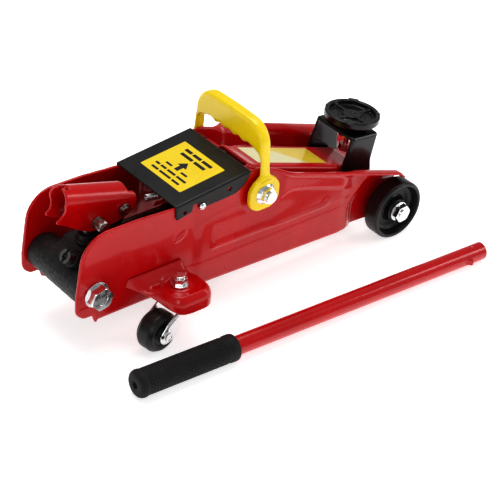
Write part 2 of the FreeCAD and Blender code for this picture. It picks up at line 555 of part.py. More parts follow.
# anchor plates welded on the fixed shaft, carrying the levelling link's rear pin inside the arm
ax0, az0, ax1, az1 = float(PX), float(PZ), float(LX), float(LZ)
anch = []
for y in (-13.0, 13.0):
    s = side_prism([(ax0 - 9.1, az0 - 2.2), (ax0 + 9.0, az0 + 2.6), (ax1 + 7.9, az1 + 2.2), (ax1 - 7.9, az1 - 2.2)], y - 2, y + 2)
    s = s.fuse([solid_cyl(9.4, 4, (ax0, y - 2, az0), (0, 1, 0)), solid_cyl(8.2, 4, (ax1, y - 2, az1), (0, 1, 0))]).removeSplitter()
    s = s.cut(solid_cyl(D["shaft_radius"] + 0.02, 60, (PX, -30, PZ), (0, 1, 0))).cut(solid_cyl(D["link_pin_radius"] + 0.02, 60, (LX, -30, LZ), (0, 1, 0)))
    anch.append(s)
feature("link_anchor_plates", anch)
pin("link_rear_pin", D["link_pin_radius"], -17.5, 17.5, LX, LZ)

ang = math.degrees(math.atan2(float(YZ - PZ), float(YX - PX)))
L = math.hypot(float(YZ - PZ), float(YX - PX))
b = body("levelling_link")
sk = sketch(b)
hb = float(D["link_bar"]) / 2
add_outline(sk, [(-7.6, -7.6, 7.5), (14, -7.6, 20), (26, -hb, 20), (L - 26, -hb, 20), (L - 14, -7.6, 20), (L + 7.6, -7.6, 7.5), (L + 7.6, 7.6, 7.5), (L - 14, 7.6, 20), (L - 26, hb, 20),
                 (26, hb, 20), (14, 7.6, 20), (-7.6, 7.6, 7.5)])
add_circle(sk, 0, 0, D["link_pin_radius"] + FIT); add_circle(sk, L, 0, D["link_pin_radius"] + FIT)
pad(b, sk, D["link_half"] * 2)
b.Placement = Placement(V(float(LX), 0, float(LZ)), Rotation(V(0, 1, 0), -ang))
keep(b, "levelling_link")

# ============================================================ saddle bracket
YOKE = [(328.2, 117.6, 2.5), (364.4, 114.1, 3), (358.5, 84, 20), (361, 66, 12), (360.5, 36, 9), (352, 28.5, 9), (340.5, 32, 9), (326, 58, 14), (317.0, 84, 8)]
b = body("saddle_bracket")
sk = sketch(b); add_outline(sk, YOKE)
add_circle(sk, YX, YZ, D["yoke_pin_radius"] + 0.02); add_circle(sk, FX, FZ, D["link_pin_radius"] + 0.02)
pad(b, sk, D["yoke_half"] * 2)
ys = float(D["yoke_sheet"])
web = lambda x: 117.6 - (117.6 - 114.1) / 36.2 * (x - 328.2)
cut_outline(b, [(300, 0), (300, web(300) - ys), (390, web(390) - ys), (390, 0)], (D["yoke_half"] - D["yoke_sheet"]) * 2)
LEAN = 5.52
seat = V(float(D["saddle_x"]), 0, web(float(D["saddle_x"])) + 0.35)
sk = sketch(b, "XY_Plane"); add_circle(sk, 0, 0, D["saddle_stem"] + FIT); pocket(b, sk, 30, both=False)
sk.AttachmentOffset = Placement(seat + V(15 * math.sin(math.radians(LEAN)), 0, 15 * math.cos(math.radians(LEAN))), Rotation(V(0, 1, 0), LEAN))
keep(b, "saddle_bracket")
pin("yoke_pin", D["yoke_pin_radius"], -31.5, 31.5, YX, YZ)
pin("link_front_pin", D["link_pin_radius"], -31.0, 31.0, FX, FZ)

# saddle: cast cup with four lugs on its rim and a cross inside, on a turned stem

b = body("saddle")
sk = sketch(b, "XZ_Plane")
sr, sh = D["saddle_radius"], D["saddle_height"]
prof = [(0, 0), (15, 0), (20, 3), (27, 4.6), (sr, 6.5), (sr, 12.2), (sr - 1.2, 13.2), (sr - 3.6, 13.2), (sr - 4.8, 12.2), (sr - 5.2, 8.6), (0, 7.6)]
ids = add_outline(sk, prof); bind_corners(sk, ids, prof)
r = b.newObject("PartDesign::Revolution", "saddle_turn"); r.Profile = sk; r.ReferenceAxis = (sk, ["V_Axis"]); r.Angle = 360.0
sk = sketch(b, "XY_Plane"); add_circle(sk, 0, 0, D["saddle_stem"]); pad(b, sk, 12, both=False, back=True)
for turn in (0, 90):
    sk = sketch(b, "XY_Plane")
    c_, s_ = math.cos(math.radians(turn + 45)), math.sin(math.radians(turn + 45))
    rot = lambda x, y: (x * c_ - y * s_, x * s_ + y * c_)
    for sg in (-1, 1):
        add_outline(sk, [rot(sg * 24.2, -6.0), rot(sg * 28.2, -6.0), rot(sg * 28.2, 6.0), rot(sg * 24.2, 6.0)][::sg])
    sk.AttachmentOffset = Placement(V(0, 0, 10), Rotation()); pad(b, sk, float(sh) - 10 + 1.6, both=False)
sk = sketch(b, "XY_Plane"); add_outline(sk, [(-2.2, -24.4), (2.2, -24.4), (2.2, 24.4), (-2.2, 24.4)]); sk.AttachmentOffset = Placement(V(0, 0, 7), Rotation()); pad(b, sk, 3.4, both=False)
sk = sketch(b, "XY_Plane"); add_outline(sk, [(-24.4, -2.2), (24.4, -2.2), (24.4, 2.2), (-24.4, 2.2)]); sk.AttachmentOffset = Placement(V(0, 0, 7), Rotation()); pad(b, sk, 3.4, both=False)
sk = sketch(b, "XY_Plane"); add_circle(sk, 0, 0, 10.0); sk.AttachmentOffset = Placement(V(0, 0, 7), Rotation()); pad(b, sk, 4.0, both=False)
sk = sketch(b, "XY_Plane"); add_circle(sk, 0, 0, 3.05); sk.AttachmentOffset = Placement(V(0, 0, -13), Rotation()); pocket(b, sk, 12, both=False, back=True)
SEAT = Placement(seat, Rotation(V(0, 1, 0), LEAN))
b.Placement = SEAT
keep(b, "saddle")
bolt = solid_cyl(3.0, 30, (0, 0, -31), (0, 0, 1)).fuse(hex_prism(13, 7, (0, 0, -31), (0, 0, 1), 0)).fuse(washer(10, 2.9, 1.6, (0, 0, -13.9), (0, 0, 1)))
feature("saddle_bolt", bolt, SEAT)

# ============================================================= front wheels
wi, wo = D["wheel_inner"], D["wheel_outer"]
for name, rot in (("front_wheel_right", ALONG_NEG_Y), ("front_wheel_left", ALONG_Y)):
    rb, hub, wr = D["axle_radius"] + FIT, D["hub_radius"], D["wheel_radius"]
    turned(name, [(rb, 37.4), (hub, 37.4), (hub + 2, 47.5), (wr - 6.5, 48.5), (wr - 5.5, wi + 1), (wr - 1.5, wi), (wr, wi + 1.6), (wr, wo - 1.8), (wr - 1.8, wo),
                  (wr - 4.6, wo), (wr - 6.0, wo - 6), (wr - 7.2, wo - 9.4), (hub + 2, wo - 10.4), (hub, wo - 2.6), (hub - 1.2, wo - 1.6), (rb, wo - 1.6)],
           at(D["axle_x"], 0, AZ, rot))
pin("front_axle", D["axle_radius"], -D["axle_half"], D["axle_half"], D["axle_x"], AZ)
ws, nuts = [], []
for sgn in (-1, 1):
    ws.append(washer(10.8, float(D["axle_radius"]) + 0.02, 1.8, (D["axle_x"], sgn * 60.75, AZ), (0, sgn, 0)))
    ws.append(washer(11, float(D["axle_radius"]) + 0.02, 0.5, (D["axle_x"], sgn * 36.65, AZ), (0, sgn, 0)))
    nuts.append(hex_prism(17.5, 6.4, (D["axle_x"], sgn * 62.6, AZ), (0, sgn, 0), 5, bore=float(D["axle_radius"]) + 0.02))
feature("axle_washers", ws)
feature("axle_nuts", nuts)

# ================================================================== casters
SX, SY = float(D["caster_stem_x"]), float(D["caster_stem_y"])
SZ, ST = float(D["shelf_z"]), float(D["shelf_sheet"])


def caster_shelf(side):
    """Pressed shelf welded to the side plate: sloping top, rounded nose round the stem, turned-down skirt."""
    h = float(D["plate_half"]) + 0.1
    top = [(SX - 47, -h), (SX + 19, -h, 4), (SX + 26, -SY, 14), (SX + 23, -SY - 25.5, 23), (SX - 16, -SY - 25.5, 22), (SX - 25, -SY, 14)]
    block = plan_prism(top, 30, 95)
    # the upper face rises towards the plate
    prof = [(h, 76), (SY - 12.5, SZ, 9), (SY + 30, SZ, 0), (SY + 30, 20), (h, 20)]
    up = face_of([(-p[0], p[1]) + ((p[2],) if len(p) > 2 else ()) for p in prof])
    up.rotate(V(0, 0, 0), V(1, 0, 0), 90)
    up.rotate(V(0, 0, 0), V(0, 0, 1), 90)
    up.translate(V(20, 0, 0))
    cut = up.extrude(V(110, 0, 0))
    block = block.common(cut)
    ins = [(SX - 43, -h + 2), (SX + 16, -h + 2), (SX + 16, -h - 1, 2), (SX + 23, -SY, 12), (SX + 20, -SY - 22.5, 20), (SX - 14.5, -SY - 22.5, 19), (SX - 22, -SY, 12)]
    core = plan_prism(ins, 20, 95).common(cut.translated(V(0, 0, -ST)))
    block = block.cut(core)
    # skirt is deeper round the nose than along the plate
    skirt = [(20, 20), (20, 66, 0), (SX - 42, 62, 6), (SX - 24, 50.5, 8), (SX - 3, 42.5, 14), (SX + 22, 42.5, 2), (SX + 40, 44), (SX + 40, 20)]
    block = block.cut(side_prism(skirt, -120, -40))
    block = block.cut(solid_cyl(float(D["caster_stem_radius"]) + float(FIT), 60, (SX, -SY, 30), (0, 0, 1)))
    return block if side == "right" else mirrored_y(block)


feature("caster_shelf_right", caster_shelf("right"))
feature("caster_shelf_left", caster_shelf("left"))

CASTER_TURN = {"right": 9.0, "left": -4.0}
for side, sgn in (("right", -1), ("left", 1)):
    # own axes: z is the stem, the wheel trails along -x
    tr, fh, fs = D["caster_trail"], D["fork_half"], D["fork_sheet"]
    cz = D["caster_radius"]
    b = body("caster_fork_" + side)
    sk = sketch(b)
    add_outline(sk, [(-11.2, 53.0, 3), (11.2, 53.0, 3), (11.2, 46, 6), (3, 36, 14), (-18.5, 13.0, 8), (-33, 9.8, 9), (-38.4, 22, 9), (-28, 33, 10), (-11.2, 43.5, 8)])
    add_circle(sk, -tr, cz, D["caster_axle_radius"] + 0.02)
    pad(b, sk, fh * 2)
    cut_outline(b, [(-60, 0), (-60, 50.4), (40, 50.4), (40, 0)], (fh - fs) * 2)
    sk = sketch(b, "XY_Plane"); add_circle(sk, 0, 0, 11.0); sk.AttachmentOffset = Placement(V(0, 0, 52.5), Rotation()); pad(b, sk, 4.15, both=False)
    sk = sketch(b, "XY_Plane"); add_circle(sk, 0, 0, D["caster_stem_radius"]); sk.AttachmentOffset = Placement(V(0, 0, 50.6), Rotation()); pad(b, sk, 20.2, both=False)
    turn = CASTER_TURN[side]
    where = Placement(V(SX, sgn * SY, 0), Rotation(V(0, 0, 1), turn))
    b.Placement = where
    keep(b, "caster_fork_" + side)
    n = hex_prism(12.6, 6.4, (0, 0, SZ + 1.9), (0, 0, 1), 8, bore=float(D["caster_stem_radius"]) + 0.02)
    wsh = washer(9.2, float(D["caster_stem_radius"]) + 0.02, 1.4, (0, 0, SZ + 0.35), (0, 0, 1))
    feature("caster_nut_" + side, [n, wsh], where)
    c = doc.addObject("Part::Cylinder", "caster_axle_" + side)
    c.Radius = float(D["caster_axle_radius"]); bind(c, "Radius", D["caster_axle_radius"])
    c.Height = float(fh) * 2 + 2.4; bind(c, "Height", fh * 2 + 2.4)
    local = Placement(V(-float(tr), -float(fh) - 1.2, float(cz)), ALONG_Y)
    c.Placement = where.multiply(local)
    keep(c, "caster_axle_" + side)
    cw = D["caster_width"]
    ra = D["caster_axle_radius"] + FIT
    R_ = D["caster_radius"]
    hw = cw * 0.5
    turned("caster_wheel_" + side, [(ra, -hw - 0.8), (8, -hw - 0.8), (8.6, -hw + 2), (R_ - 6, -hw + 2.4), (R_ - 5, -hw + 0.2), (R_ - 3, -hw), (R_ - 0.6, -hw + 2.2), (R_, -hw + 4.5),
                                    (R_, hw - 4.5), (R_ - 0.6, hw - 2.2), (R_ - 3, hw), (R_ - 5, hw - 0.2), (R_ - 6, hw - 2.4), (8.6, hw - 2), (8, hw + 0.8), (ra, hw + 0.8)],
           where.multiply(Placement(V(-float(tr), 0, float(cz)), ALONG_Y)))

# ============================================================= carry handle
bh, bl, bt, top, dep2 = float(D["bail_half"]), float(D["bail_leg"]), float(D["bail_thick"]), float(D["bail_top_z"]), float(D["bail_depth"])
b = body("carry_handle")
sk = sketch(b, "YZ_Plane")
pz = float(PZ)
inner_z = top - dep2
half = [(-bh, pz + 5), (-bh, pz + 14, 10), (-bh + 2.2, pz + 28, 30), (-bh + 6, top + 2, 30)]
under = [(-(bh - bl), pz + 5), (-(bh - bl - 0.3), pz + 40, 9), (-34, inner_z, 8)]
grip = [(28, inner_z + 1.2, 5), (21, inner_z - 1.6, 5), (14, inner_z + 1.4, 5), (7, inner_z - 1.6, 5), (0, inner_z + 1.4, 5), (-7, inner_z - 1.6, 5), (-14, inner_z + 1.4, 5),
        (-21, inner_z - 1.6, 5), (-28, inner_z + 1.2, 5)]
other = lambda pts: [(-p[0],) + tuple(p[1:]) for p in pts]
add_outline(sk, half + [(0, top + 3.5, 200)] + other(half)[::-1] + other(under) + grip + under[::-1])
pad(b, sk, bt)
eye = [(-6.9, 17), (-12.5, 14, 8), (-18.5, 6, 12), (-18.5, -11, 13), (-9, -18.5, 13), (9, -18.5, 13), (18.5, -11, 13), (18.5, 6, 12), (12.5, 14, 8), (6.9, 17)]
sk = sketch(b, "XZ_Plane"); add_outline(sk, [(p[0], pz + p[1]) + tuple(p[2:]) for p in eye]); pad(b, sk, D["bail_half"] * 2)
cut_outline(b, [(-60, pz - 60), (-60, pz + 17.1), (60, pz + 17.1), (60, pz - 60)], (D["bail_half"] - D["bail_leg"]) * 2)
cut_circle(b, 0, PZ, D["stud_radius"] + FIT, 200)
b.Placement = Placement(V(float(PX), 0, 0), Rotation())
keep(b, "carry_handle")
nuts = []
for sgn in (-1, 1):
    y = sgn * (bh + 0.3)
    fl = Part.makeCone(11.4, 9.0, 2.2).cut(Part.makeCylinder(float(D["stud_radius"]) + 0.02, 6, V(0, 0, -1)))
    fl.Placement = Placement(V(float(PX), y, pz), Rotation(V(0, 0, 1), V(0, sgn, 0)))
    hx = hex_prism(15, 6.6, (PX, y, PZ), (0, sgn, 0), 14, bore=float(D["stud_radius"]) + 0.02)
    nuts.append(fl.fuse(hx))
    nuts.append(washer(12.5, float(D["stud_radius"]) + 0.02, 1.5, (PX, sgn * 46.7, PZ), (0, sgn, 0)))
feature("carry_handle_nuts", nuts)

# ====================================================== arm return springs
sps = []
for sgn in (-1, 1):
    s = coil_tube(4.4, 1.4, 122, 60)
    s.Placement = Placement(V(38, sgn * 31.0, 69.0), Rotation(V(0, 0, 1), V(1, 0, 0)))
    sps.append(s)
feature("arm_return_springs", sps)

# =============================================================== pump handle
HT, HL = D["handle_tube_radius"], D["handle_length"]
lean = math.degrees(math.atan2(4.1, 322.0))       # grip collar and tube end both touch the floor
HAND = Placement(V(-9.5, -121.8, 15.06), Rotation(V(0, 0, 1), -2.35).multiply(Rotation(V(0, 1, 0), lean)).multiply(Rotation(V(0, 1, 0), 90)))
gr, gl = D["grip_radius"], D["grip_length"]
turned("handle_grip", [(3.2, 0), (gr - 3, 0), (gr - 0.8, 0.8), (gr, 3), (gr, 6), (gr - 1.4, 9), (gr - 1.0, 40), (gr - 1.0, 70), (gr - 1.6, gl - 12), (gr - 0.4, gl - 8), (gr - 0.4, gl - 2),
                       (gr - 1.4, gl), (HT + 0.02, gl), (HT + 0.02, 4.0), (3.2, 4.0)], HAND)
b = body("handle_tube")
sk = sketch(b, "XY_Plane"); add_circle(sk, 0, 0, HT); add_circle(sk, 0, 0, D["handle_tube_bore"]); pad(b, sk, HL - 4.1, both=False)
# own axes of the tube: z along it, -x is up on the floor
b.Placement = HAND.multiply(at(0, 0, 4.1))
keep(b, "handle_tube")
# pressed-out lug near the tube's end, which locks in the slot of the socket's mouth
lug = Part.Face(Part.makePolygon([V(0, -8.6, 0), V(0, -13.8, 4.5), V(0, -13.8, 6.5), V(0, -8.6, 7.5), V(0, -8.6, 0)])).extrude(V(5.0, 0, 0))
lug.translate(V(-2.5, 0, float(HL) - 29.0))
lug = lug.cut(Part.makeCylinder(float(HT) + 0.02, 40, V(0, 0, float(HL) - 45)))
feature("handle_lug", lug, HAND)

# ------------------------------------------------- checks, offset and export
doc.recompute()
bad = [o.Name for o in doc.Objects if any(k in ("Invalid", "Error") for k in o.State)]
if bad:
    raise RuntimeError("failed objects: %s" % bad)

box = FreeCAD.BoundBox()
for name, obj in PIECES:
    if obj.Shape.isNull() or not obj.Shape.isValid() or not obj.Shape.Solids:
        raise RuntimeError("bad shape: " + name)
    box.add(obj.Shape.BoundBox)
OFFSET = V(-round(box.Center.x, 1), -round(box.Center.y, 1), 0)
for name, obj in PIECES:
    obj.Placement = Placement(OFFSET, Rotation()).multiply(obj.Placement)
doc.recompute()
print("box", [round(k, 2) for k in (box.XMin, box.XMax, box.YMin, box.YMax, box.ZMin, box.ZMax)], "offset", OFFSET, "pieces", len(PIECES))
for name, obj in PIECES:
    obj.Shape.exportStep("parts/%s.step" % name)
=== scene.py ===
import bpy, bmesh, math
import numpy as np
from mathutils import Vector, Matrix


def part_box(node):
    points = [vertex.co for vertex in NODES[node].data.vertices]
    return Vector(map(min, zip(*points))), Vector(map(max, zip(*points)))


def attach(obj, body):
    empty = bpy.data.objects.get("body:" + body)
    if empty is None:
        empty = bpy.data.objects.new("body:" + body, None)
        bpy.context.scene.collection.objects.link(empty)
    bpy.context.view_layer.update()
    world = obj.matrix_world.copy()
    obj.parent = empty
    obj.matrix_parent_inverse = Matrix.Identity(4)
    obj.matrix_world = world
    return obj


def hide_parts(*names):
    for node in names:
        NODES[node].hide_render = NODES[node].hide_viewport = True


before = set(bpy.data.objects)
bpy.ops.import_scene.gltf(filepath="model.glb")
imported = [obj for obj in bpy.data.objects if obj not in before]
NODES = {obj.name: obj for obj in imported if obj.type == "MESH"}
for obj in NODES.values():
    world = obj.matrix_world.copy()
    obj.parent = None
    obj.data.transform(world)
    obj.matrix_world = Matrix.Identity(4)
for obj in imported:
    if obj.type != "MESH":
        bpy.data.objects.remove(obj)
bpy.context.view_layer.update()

# The jack's own millimetre coordinates: x = 0 at the rear bolts, y = 0 in the middle plane, z = 0 on the floor.
_lo, _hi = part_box("arm_pivot_shaft")
OX = (_lo[0] + _hi[0]) / 2 - 0.190
OY = (_lo[1] + _hi[1]) / 2


def P(x, y, z):
    return Vector((x / 1000 + OX, y / 1000 + OY, z / 1000))


# ------------------------------------------------------------------ materials
def new_mat(name):
    m = bpy.data.materials.new(name)
    m.use_nodes = True
    nt = m.node_tree
    nt.nodes.clear()
    out = nt.nodes.new("ShaderNodeOutputMaterial")
    b = nt.nodes.new("ShaderNodeBsdfPrincipled")
    nt.links.new(b.outputs[0], out.inputs[0])
    tc = nt.nodes.new("ShaderNodeTexCoord")
    return m, nt, b, tc.outputs["Object"]


def noise(nt, co, scale, detail=3.0, rough=0.5, dist=0.0):
    n = nt.nodes.new("ShaderNodeTexNoise")
    n.inputs["Scale"].default_value = scale
    n.inputs["Detail"].default_value = detail
    n.inputs["Roughness"].default_value = rough
    n.inputs["Distortion"].default_value = dist
    nt.links.new(co, n.inputs["Vector"])
    return n.outputs["Fac"]


def ramp(nt, fac, stops):
    r = nt.nodes.new("ShaderNodeValToRGB")
    el = r.color_ramp.elements
    el[0].position, el[0].color = stops[0][0], (*stops[0][1], 1)
    el[1].position, el[1].color = stops[-1][0], (*stops[-1][1], 1)
    for p, c in stops[1:-1]:
        e = el.new(p); e.color = (*c, 1)
    nt.links.new(fac, r.inputs[0])
    return r.outputs[0]


def remap(nt, fac, a, b, lo, hi):
    r = nt.nodes.new("ShaderNodeMapRange")
    r.inputs[1].default_value, r.inputs[2].default_value, r.inputs[3].default_value, r.inputs[4].default_value = a, b, lo, hi
    nt.links.new(fac, r.inputs[0])
    return r.outputs[0]


def bump(nt, b, heights):
    """heights: list of (socket, strength, distance in metres); chained."""
    last = None
    for h, s, d in heights:
        n = nt.nodes.new("ShaderNodeBump")
        n.inputs["Strength"].default_value = s
        n.inputs["Distance"].default_value = d
        nt.links.new(h, n.inputs["Height"])
        if last is not None:
            nt.links.new(last, n.inputs["Normal"])
        last = n.outputs["Normal"]
    nt.links.new(last, b.inputs["Normal"])


def mix(nt, fac, a, b):
    m = nt.nodes.new("ShaderNodeMix"); m.data_type = "RGBA"
    if isinstance(fac, float): m.inputs[0].default_value = fac
    else: nt.links.new(fac, m.inputs[0])
    for v, i in ((a, 6), (b, 7)):
        if isinstance(v, tuple): m.inputs[i].default_value = (*v, 1)
        else: nt.links.new(v, m.inputs[i])
    return m.outputs[2]


def painted_edge_highlight(nt, base, colour, co, lo=0.56, hi=0.64, amount=0.5):
    """Painted highlight: a lighter colour on convex edges, broken up by noise."""
    g = nt.nodes.new("ShaderNodeNewGeometry")
    p = remap(nt, g.outputs["Pointiness"], lo, hi, 0.0, amount)
    n = remap(nt, noise(nt, co, 260, 4), 0.45, 0.62, 0.0, 1.0)
    mul = nt.nodes.new("ShaderNodeMath"); mul.operation = "MULTIPLY"
    nt.links.new(p, mul.inputs[0]); nt.links.new(n, mul.inputs[1])
    return mix(nt, mul.outputs[0], base, colour)


def paint(name, c0, c1, rough, coat, coat_rough, peel=0.06, edge_light=None, spec=0.5):
    m, nt, b, co = new_mat(name)
    col = ramp(nt, noise(nt, co, 18, 5, 0.6), [(0.35, c0), (0.7, c1)])
    # painted highlight: the edge colour is laid lighter on convex edges
    if edge_light:
        col = painted_edge_highlight(nt, col, edge_light[0], co, amount=edge_light[1])
    nt.links.new(col, b.inputs["Base Color"])
    nt.links.new(remap(nt, noise(nt, co, 60, 4), 0.3, 0.7, rough - 0.05, rough + 0.07), b.inputs["Roughness"])
    b.inputs["Coat Weight"].default_value = coat
    b.inputs["Coat Roughness"].default_value = coat_rough
    b.inputs["Specular IOR Level"].default_value = spec
    bump(nt, b, [(noise(nt, co, 420, 2), peel, 0.0006), (noise(nt, co, 2600, 2), peel * 0.4, 0.0002)])
    return m


# the (colour, amount) pair in each call is a painted edge highlight
RED = paint("red_gloss_paint", (0.47, 0.0012, 0.004), (0.56, 0.002, 0.006), 0.30, 0.45, 0.06, 0.08, ((0.60, 0.02, 0.02), 0.4), 0.32)
RED_TUBE = paint("red_tube_paint", (0.47, 0.0012, 0.004), (0.55, 0.002, 0.006), 0.26, 0.6, 0.04, 0.04, None, 0.35)
BLACK = paint("black_satin_paint", (0.012, 0.012, 0.013), (0.022, 0.022, 0.022), 0.36, 0.12, 0.2, 0.10, ((0.10, 0.10, 0.10), 0.35), 0.35)
BLACK_GLOSS = paint("black_gloss_paint", (0.008, 0.008, 0.009), (0.016, 0.016, 0.017), 0.25, 0.35, 0.08, 0.08, ((0.08, 0.08, 0.08), 0.3), 0.35)


def cast_mat(name):
    m, nt, b, co = new_mat(name)
    col = ramp(nt, noise(nt, co, 240, 6, 0.65), [(0.3, (0.006, 0.006, 0.006)), (0.62, (0.017, 0.017, 0.016)), (0.75, (0.05, 0.05, 0.047))])
    # painted highlight: a lighter grey on convex edges of the casting
    nt.links.new(painted_edge_highlight(nt, col, (0.11, 0.11, 0.105), co, amount=0.6), b.inputs["Base Color"])
    nt.links.new(remap(nt, noise(nt, co, 320, 4), 0.3, 0.7, 0.38, 0.7), b.inputs["Roughness"])
    b.inputs["Coat Weight"].default_value = 0.15
    b.inputs["Coat Roughness"].default_value = 0.35
    bump(nt, b, [(noise(nt, co, 520, 6, 0.7), 0.8, 0.0012), (noise(nt, co, 1900, 3), 0.4, 0.0004)])
    return m


CAST = cast_mat("black_cast_iron")


def metal(name, c0, c1, rough, scale=(1, 1, 1), tex=300, strength=0.12, coat=0.0):
    m, nt, b, co = new_mat(name)
    mp = nt.nodes.new("ShaderNodeMapping"); mp.inputs["Scale"].default_value = scale
    nt.links.new(co, mp.inputs["Vector"])
    n = noise(nt, mp.outputs[0], tex, 5, 0.6)
    nt.links.new(ramp(nt, n, [(0.3, c0), (0.7, c1)]), b.inputs["Base Color"])
    b.inputs["Metallic"].default_value = 1.0
    nt.links.new(remap(nt, n, 0.3, 0.7, rough - 0.06, rough + 0.12), b.inputs["Roughness"])
    if coat: b.inputs["Coat Weight"].default_value = coat
    bump(nt, b, [(n, strength, 0.0003)])
    return m


ZINC = metal("zinc_plate", (0.74, 0.75, 0.76), (0.84, 0.85, 0.86), 0.17, tex=160, strength=0.02)
ZINC_DARK = metal("zinc_aged", (0.30, 0.30, 0.29), (0.52, 0.51, 0.48), 0.28, tex=300, strength=0.08)
CHROME = metal("ground_steel", (0.62, 0.61, 0.60), (0.78, 0.77, 0.76), 0.14, (1, 1, 0.05), 900, 0.08)
STEEL_GREY = metal("dark_ground_steel", (0.16, 0.16, 0.16), (0.28, 0.28, 0.28), 0.34, (1, 1, 0.05), 900, 0.2)
PINK_ROD = metal("tinted_bolt", (0.55, 0.20, 0.20), (0.75, 0.42, 0.42), 0.25)


def plastic(name, c0, c1, rough, spec=0.5, grain=900, strength=0.12, coat=0.0, sss=0.0, var=22):
    m, nt, b, co = new_mat(name)
    nt.links.new(ramp(nt, noise(nt, co, var, 4), [(0.3, c0), (0.7, c1)]), b.inputs["Base Color"])
    nt.links.new(remap(nt, noise(nt, co, 90, 4), 0.3, 0.7, rough - 0.06, rough + 0.08), b.inputs["Roughness"])
    b.inputs["Specular IOR Level"].default_value = spec
    if coat:
        b.inputs["Coat Weight"].default_value = coat
        b.inputs["Coat Roughness"].default_value = 0.15
    if sss:
        b.inputs["Subsurface Weight"].default_value = sss
        b.inputs["Subsurface Radius"].default_value = (0.004, 0.002, 0.0006)
        b.inputs["Subsurface Scale"].default_value = 1.0
    bump(nt, b, [(noise(nt, co, grain, 3), strength, 0.0004)])
    return m


YELLOW = plastic("yellow_moulded_plastic", (0.90, 0.66, 0.003), (0.95, 0.72, 0.005), 0.30, 0.5, 700, 0.10, 0.35)
BLACK_PL = plastic("black_moulded_plastic", (0.011, 0.011, 0.012), (0.020, 0.020, 0.020), 0.40, 0.45, 1100, 0.16, 0.1)
RUBBER = plastic("black_rubber", (0.012, 0.012, 0.012), (0.024, 0.024, 0.024), 0.62, 0.35, 1500, 0.5)
# painted shade: a near-black material standing in for the shade inside holes
DARK = plastic("painted_hole_shade", (0.004, 0.004, 0.004), (0.008, 0.008, 0.008), 0.8, 0.2)
MARK = plastic("black_print", (0.012, 0.011, 0.010), (0.020, 0.019, 0.018), 0.42, 0.4, 600, 0.05)
LABEL = plastic("yellow_film", (0.90, 0.66, 0.012), (0.94, 0.72, 0.02), 0.30, 0.5, 500, 0.04, 0.4)


def reflective_film(name):
    """Retro-reflective film: yellow with a fine honeycomb of cells, and a pale field over its rear part that is a
    painted reflection.
    """
    m, nt, b, co = new_mat(name)
    v = nt.nodes.new("ShaderNodeTexVoronoi"); v.feature = "DISTANCE_TO_EDGE"; v.inputs["Scale"].default_value = 520
    nt.links.new(co, v.inputs["Vector"])
    cells = remap(nt, v.outputs["Distance"], 0.0, 0.12, 0.0, 1.0)
    sep = nt.nodes.new("ShaderNodeSeparateXYZ"); nt.links.new(co, sep.inputs[0])
    # diagonal border between the yellow film and the painted reflection field, in the row frame
    d = nt.nodes.new("ShaderNodeMath"); d.operation = "ADD"
    nt.links.new(sep.outputs[0], d.inputs[0]); nt.links.new(sep.outputs[1], d.inputs[1])
    f = remap(nt, d.outputs[0], OX + OY + 0.258, OX + OY + 0.268, 1.0, 0.0)
    yellow = mix(nt, cells, (0.70, 0.45, 0.01), (0.86, 0.64, 0.03))
    # painted reflection: a pale field laid over the rear part of the film
    painted_reflection_field = mix(nt, cells, (0.74, 0.66, 0.26), (0.84, 0.80, 0.50))
    nt.links.new(mix(nt, f, yellow, painted_reflection_field), b.inputs["Base Color"])
    b.inputs["Roughness"].default_value = 0.28
    b.inputs["Coat Weight"].default_value = 0.8
    b.inputs["Coat Roughness"].default_value = 0.08
    bump(nt, b, [(cells, 0.15, 0.0002)])
    return m


FILM = reflective_film("arm_reflective_film")


# --------------------------------------------------------------- mesh helpers
def make(name, verts, faces, mat, body, replaces=(), smooth=True, mats=None, midx=None):
    me = bpy.data.meshes.new(name)
    v = np.asarray(verts, dtype=np.float64) / 1000 + np.array([OX, OY, 0.0])
    if isinstance(faces, np.ndarray):
        n, k = faces.shape
        me.vertices.add(len(v)); me.vertices.foreach_set("co", v.ravel())
        me.loops.add(n * k); me.loops.foreach_set("vertex_index", faces.ravel().astype(np.int32))
        me.polygons.add(n); me.polygons.foreach_set("loop_start", np.arange(0, n * k, k, dtype=np.int32))
        me.update(calc_edges=True); me.validate()
    else:
        me.from_pydata([tuple(p) for p in v], [], faces); me.validate()
    for mm in (mats or [mat]):
        me.materials.append(mm)
    if midx is not None:
        me.polygons.foreach_set("material_index", np.asarray(midx, dtype=np.int32))
    o = bpy.data.objects.new(name, me)
    bpy.context.scene.collection.objects.link(o)
    if smooth:
        me.polygons.foreach_set("use_smooth", [True] * len(me.polygons))
    me.update()
    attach(o, body)
    if replaces:
        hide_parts(*replaces)
    return o


def rnd(pts, seg=7):
    """Outline with rounded corners: each point is (a, b) or (a, b, radius)."""
    out, n = [], len(pts)
    for i in range(n):
        p = pts[i]
        r = p[2] if len(p) > 2 else 0
        c = np.array(p[:2], float)
        if not r:
            out.append(tuple(c)); continue
        a, b = np.array(pts[i - 1][:2], float) - c, np.array(pts[(i + 1) % n][:2], float) - c
        la, lb = np.linalg.norm(a), np.linalg.norm(b)
        a, b = a / la, b / lb
        half = math.acos(max(-1, min(1, float(a @ b)))) / 2
        if half > math.pi / 2 - 0.01:
            out.append(tuple(c)); continue
        t = min(r / math.tan(half), la * 0.49, lb * 0.49)
        r = t * math.tan(half)
        m = (a + b) / np.linalg.norm(a + b)
        cen = c + m * (r / math.sin(half))
        s, e = c + a * t - cen, c + b * t - cen
        a0, a1 = math.atan2(s[1], s[0]), math.atan2(e[1], e[0])
        d = (a1 - a0 + math.pi) % (2 * math.pi) - math.pi
        for k in range(seg + 1):
            q = a0 + d * k / seg
            out.append((cen[0] + r * math.cos(q), cen[1] + r * math.sin(q)))
    return out


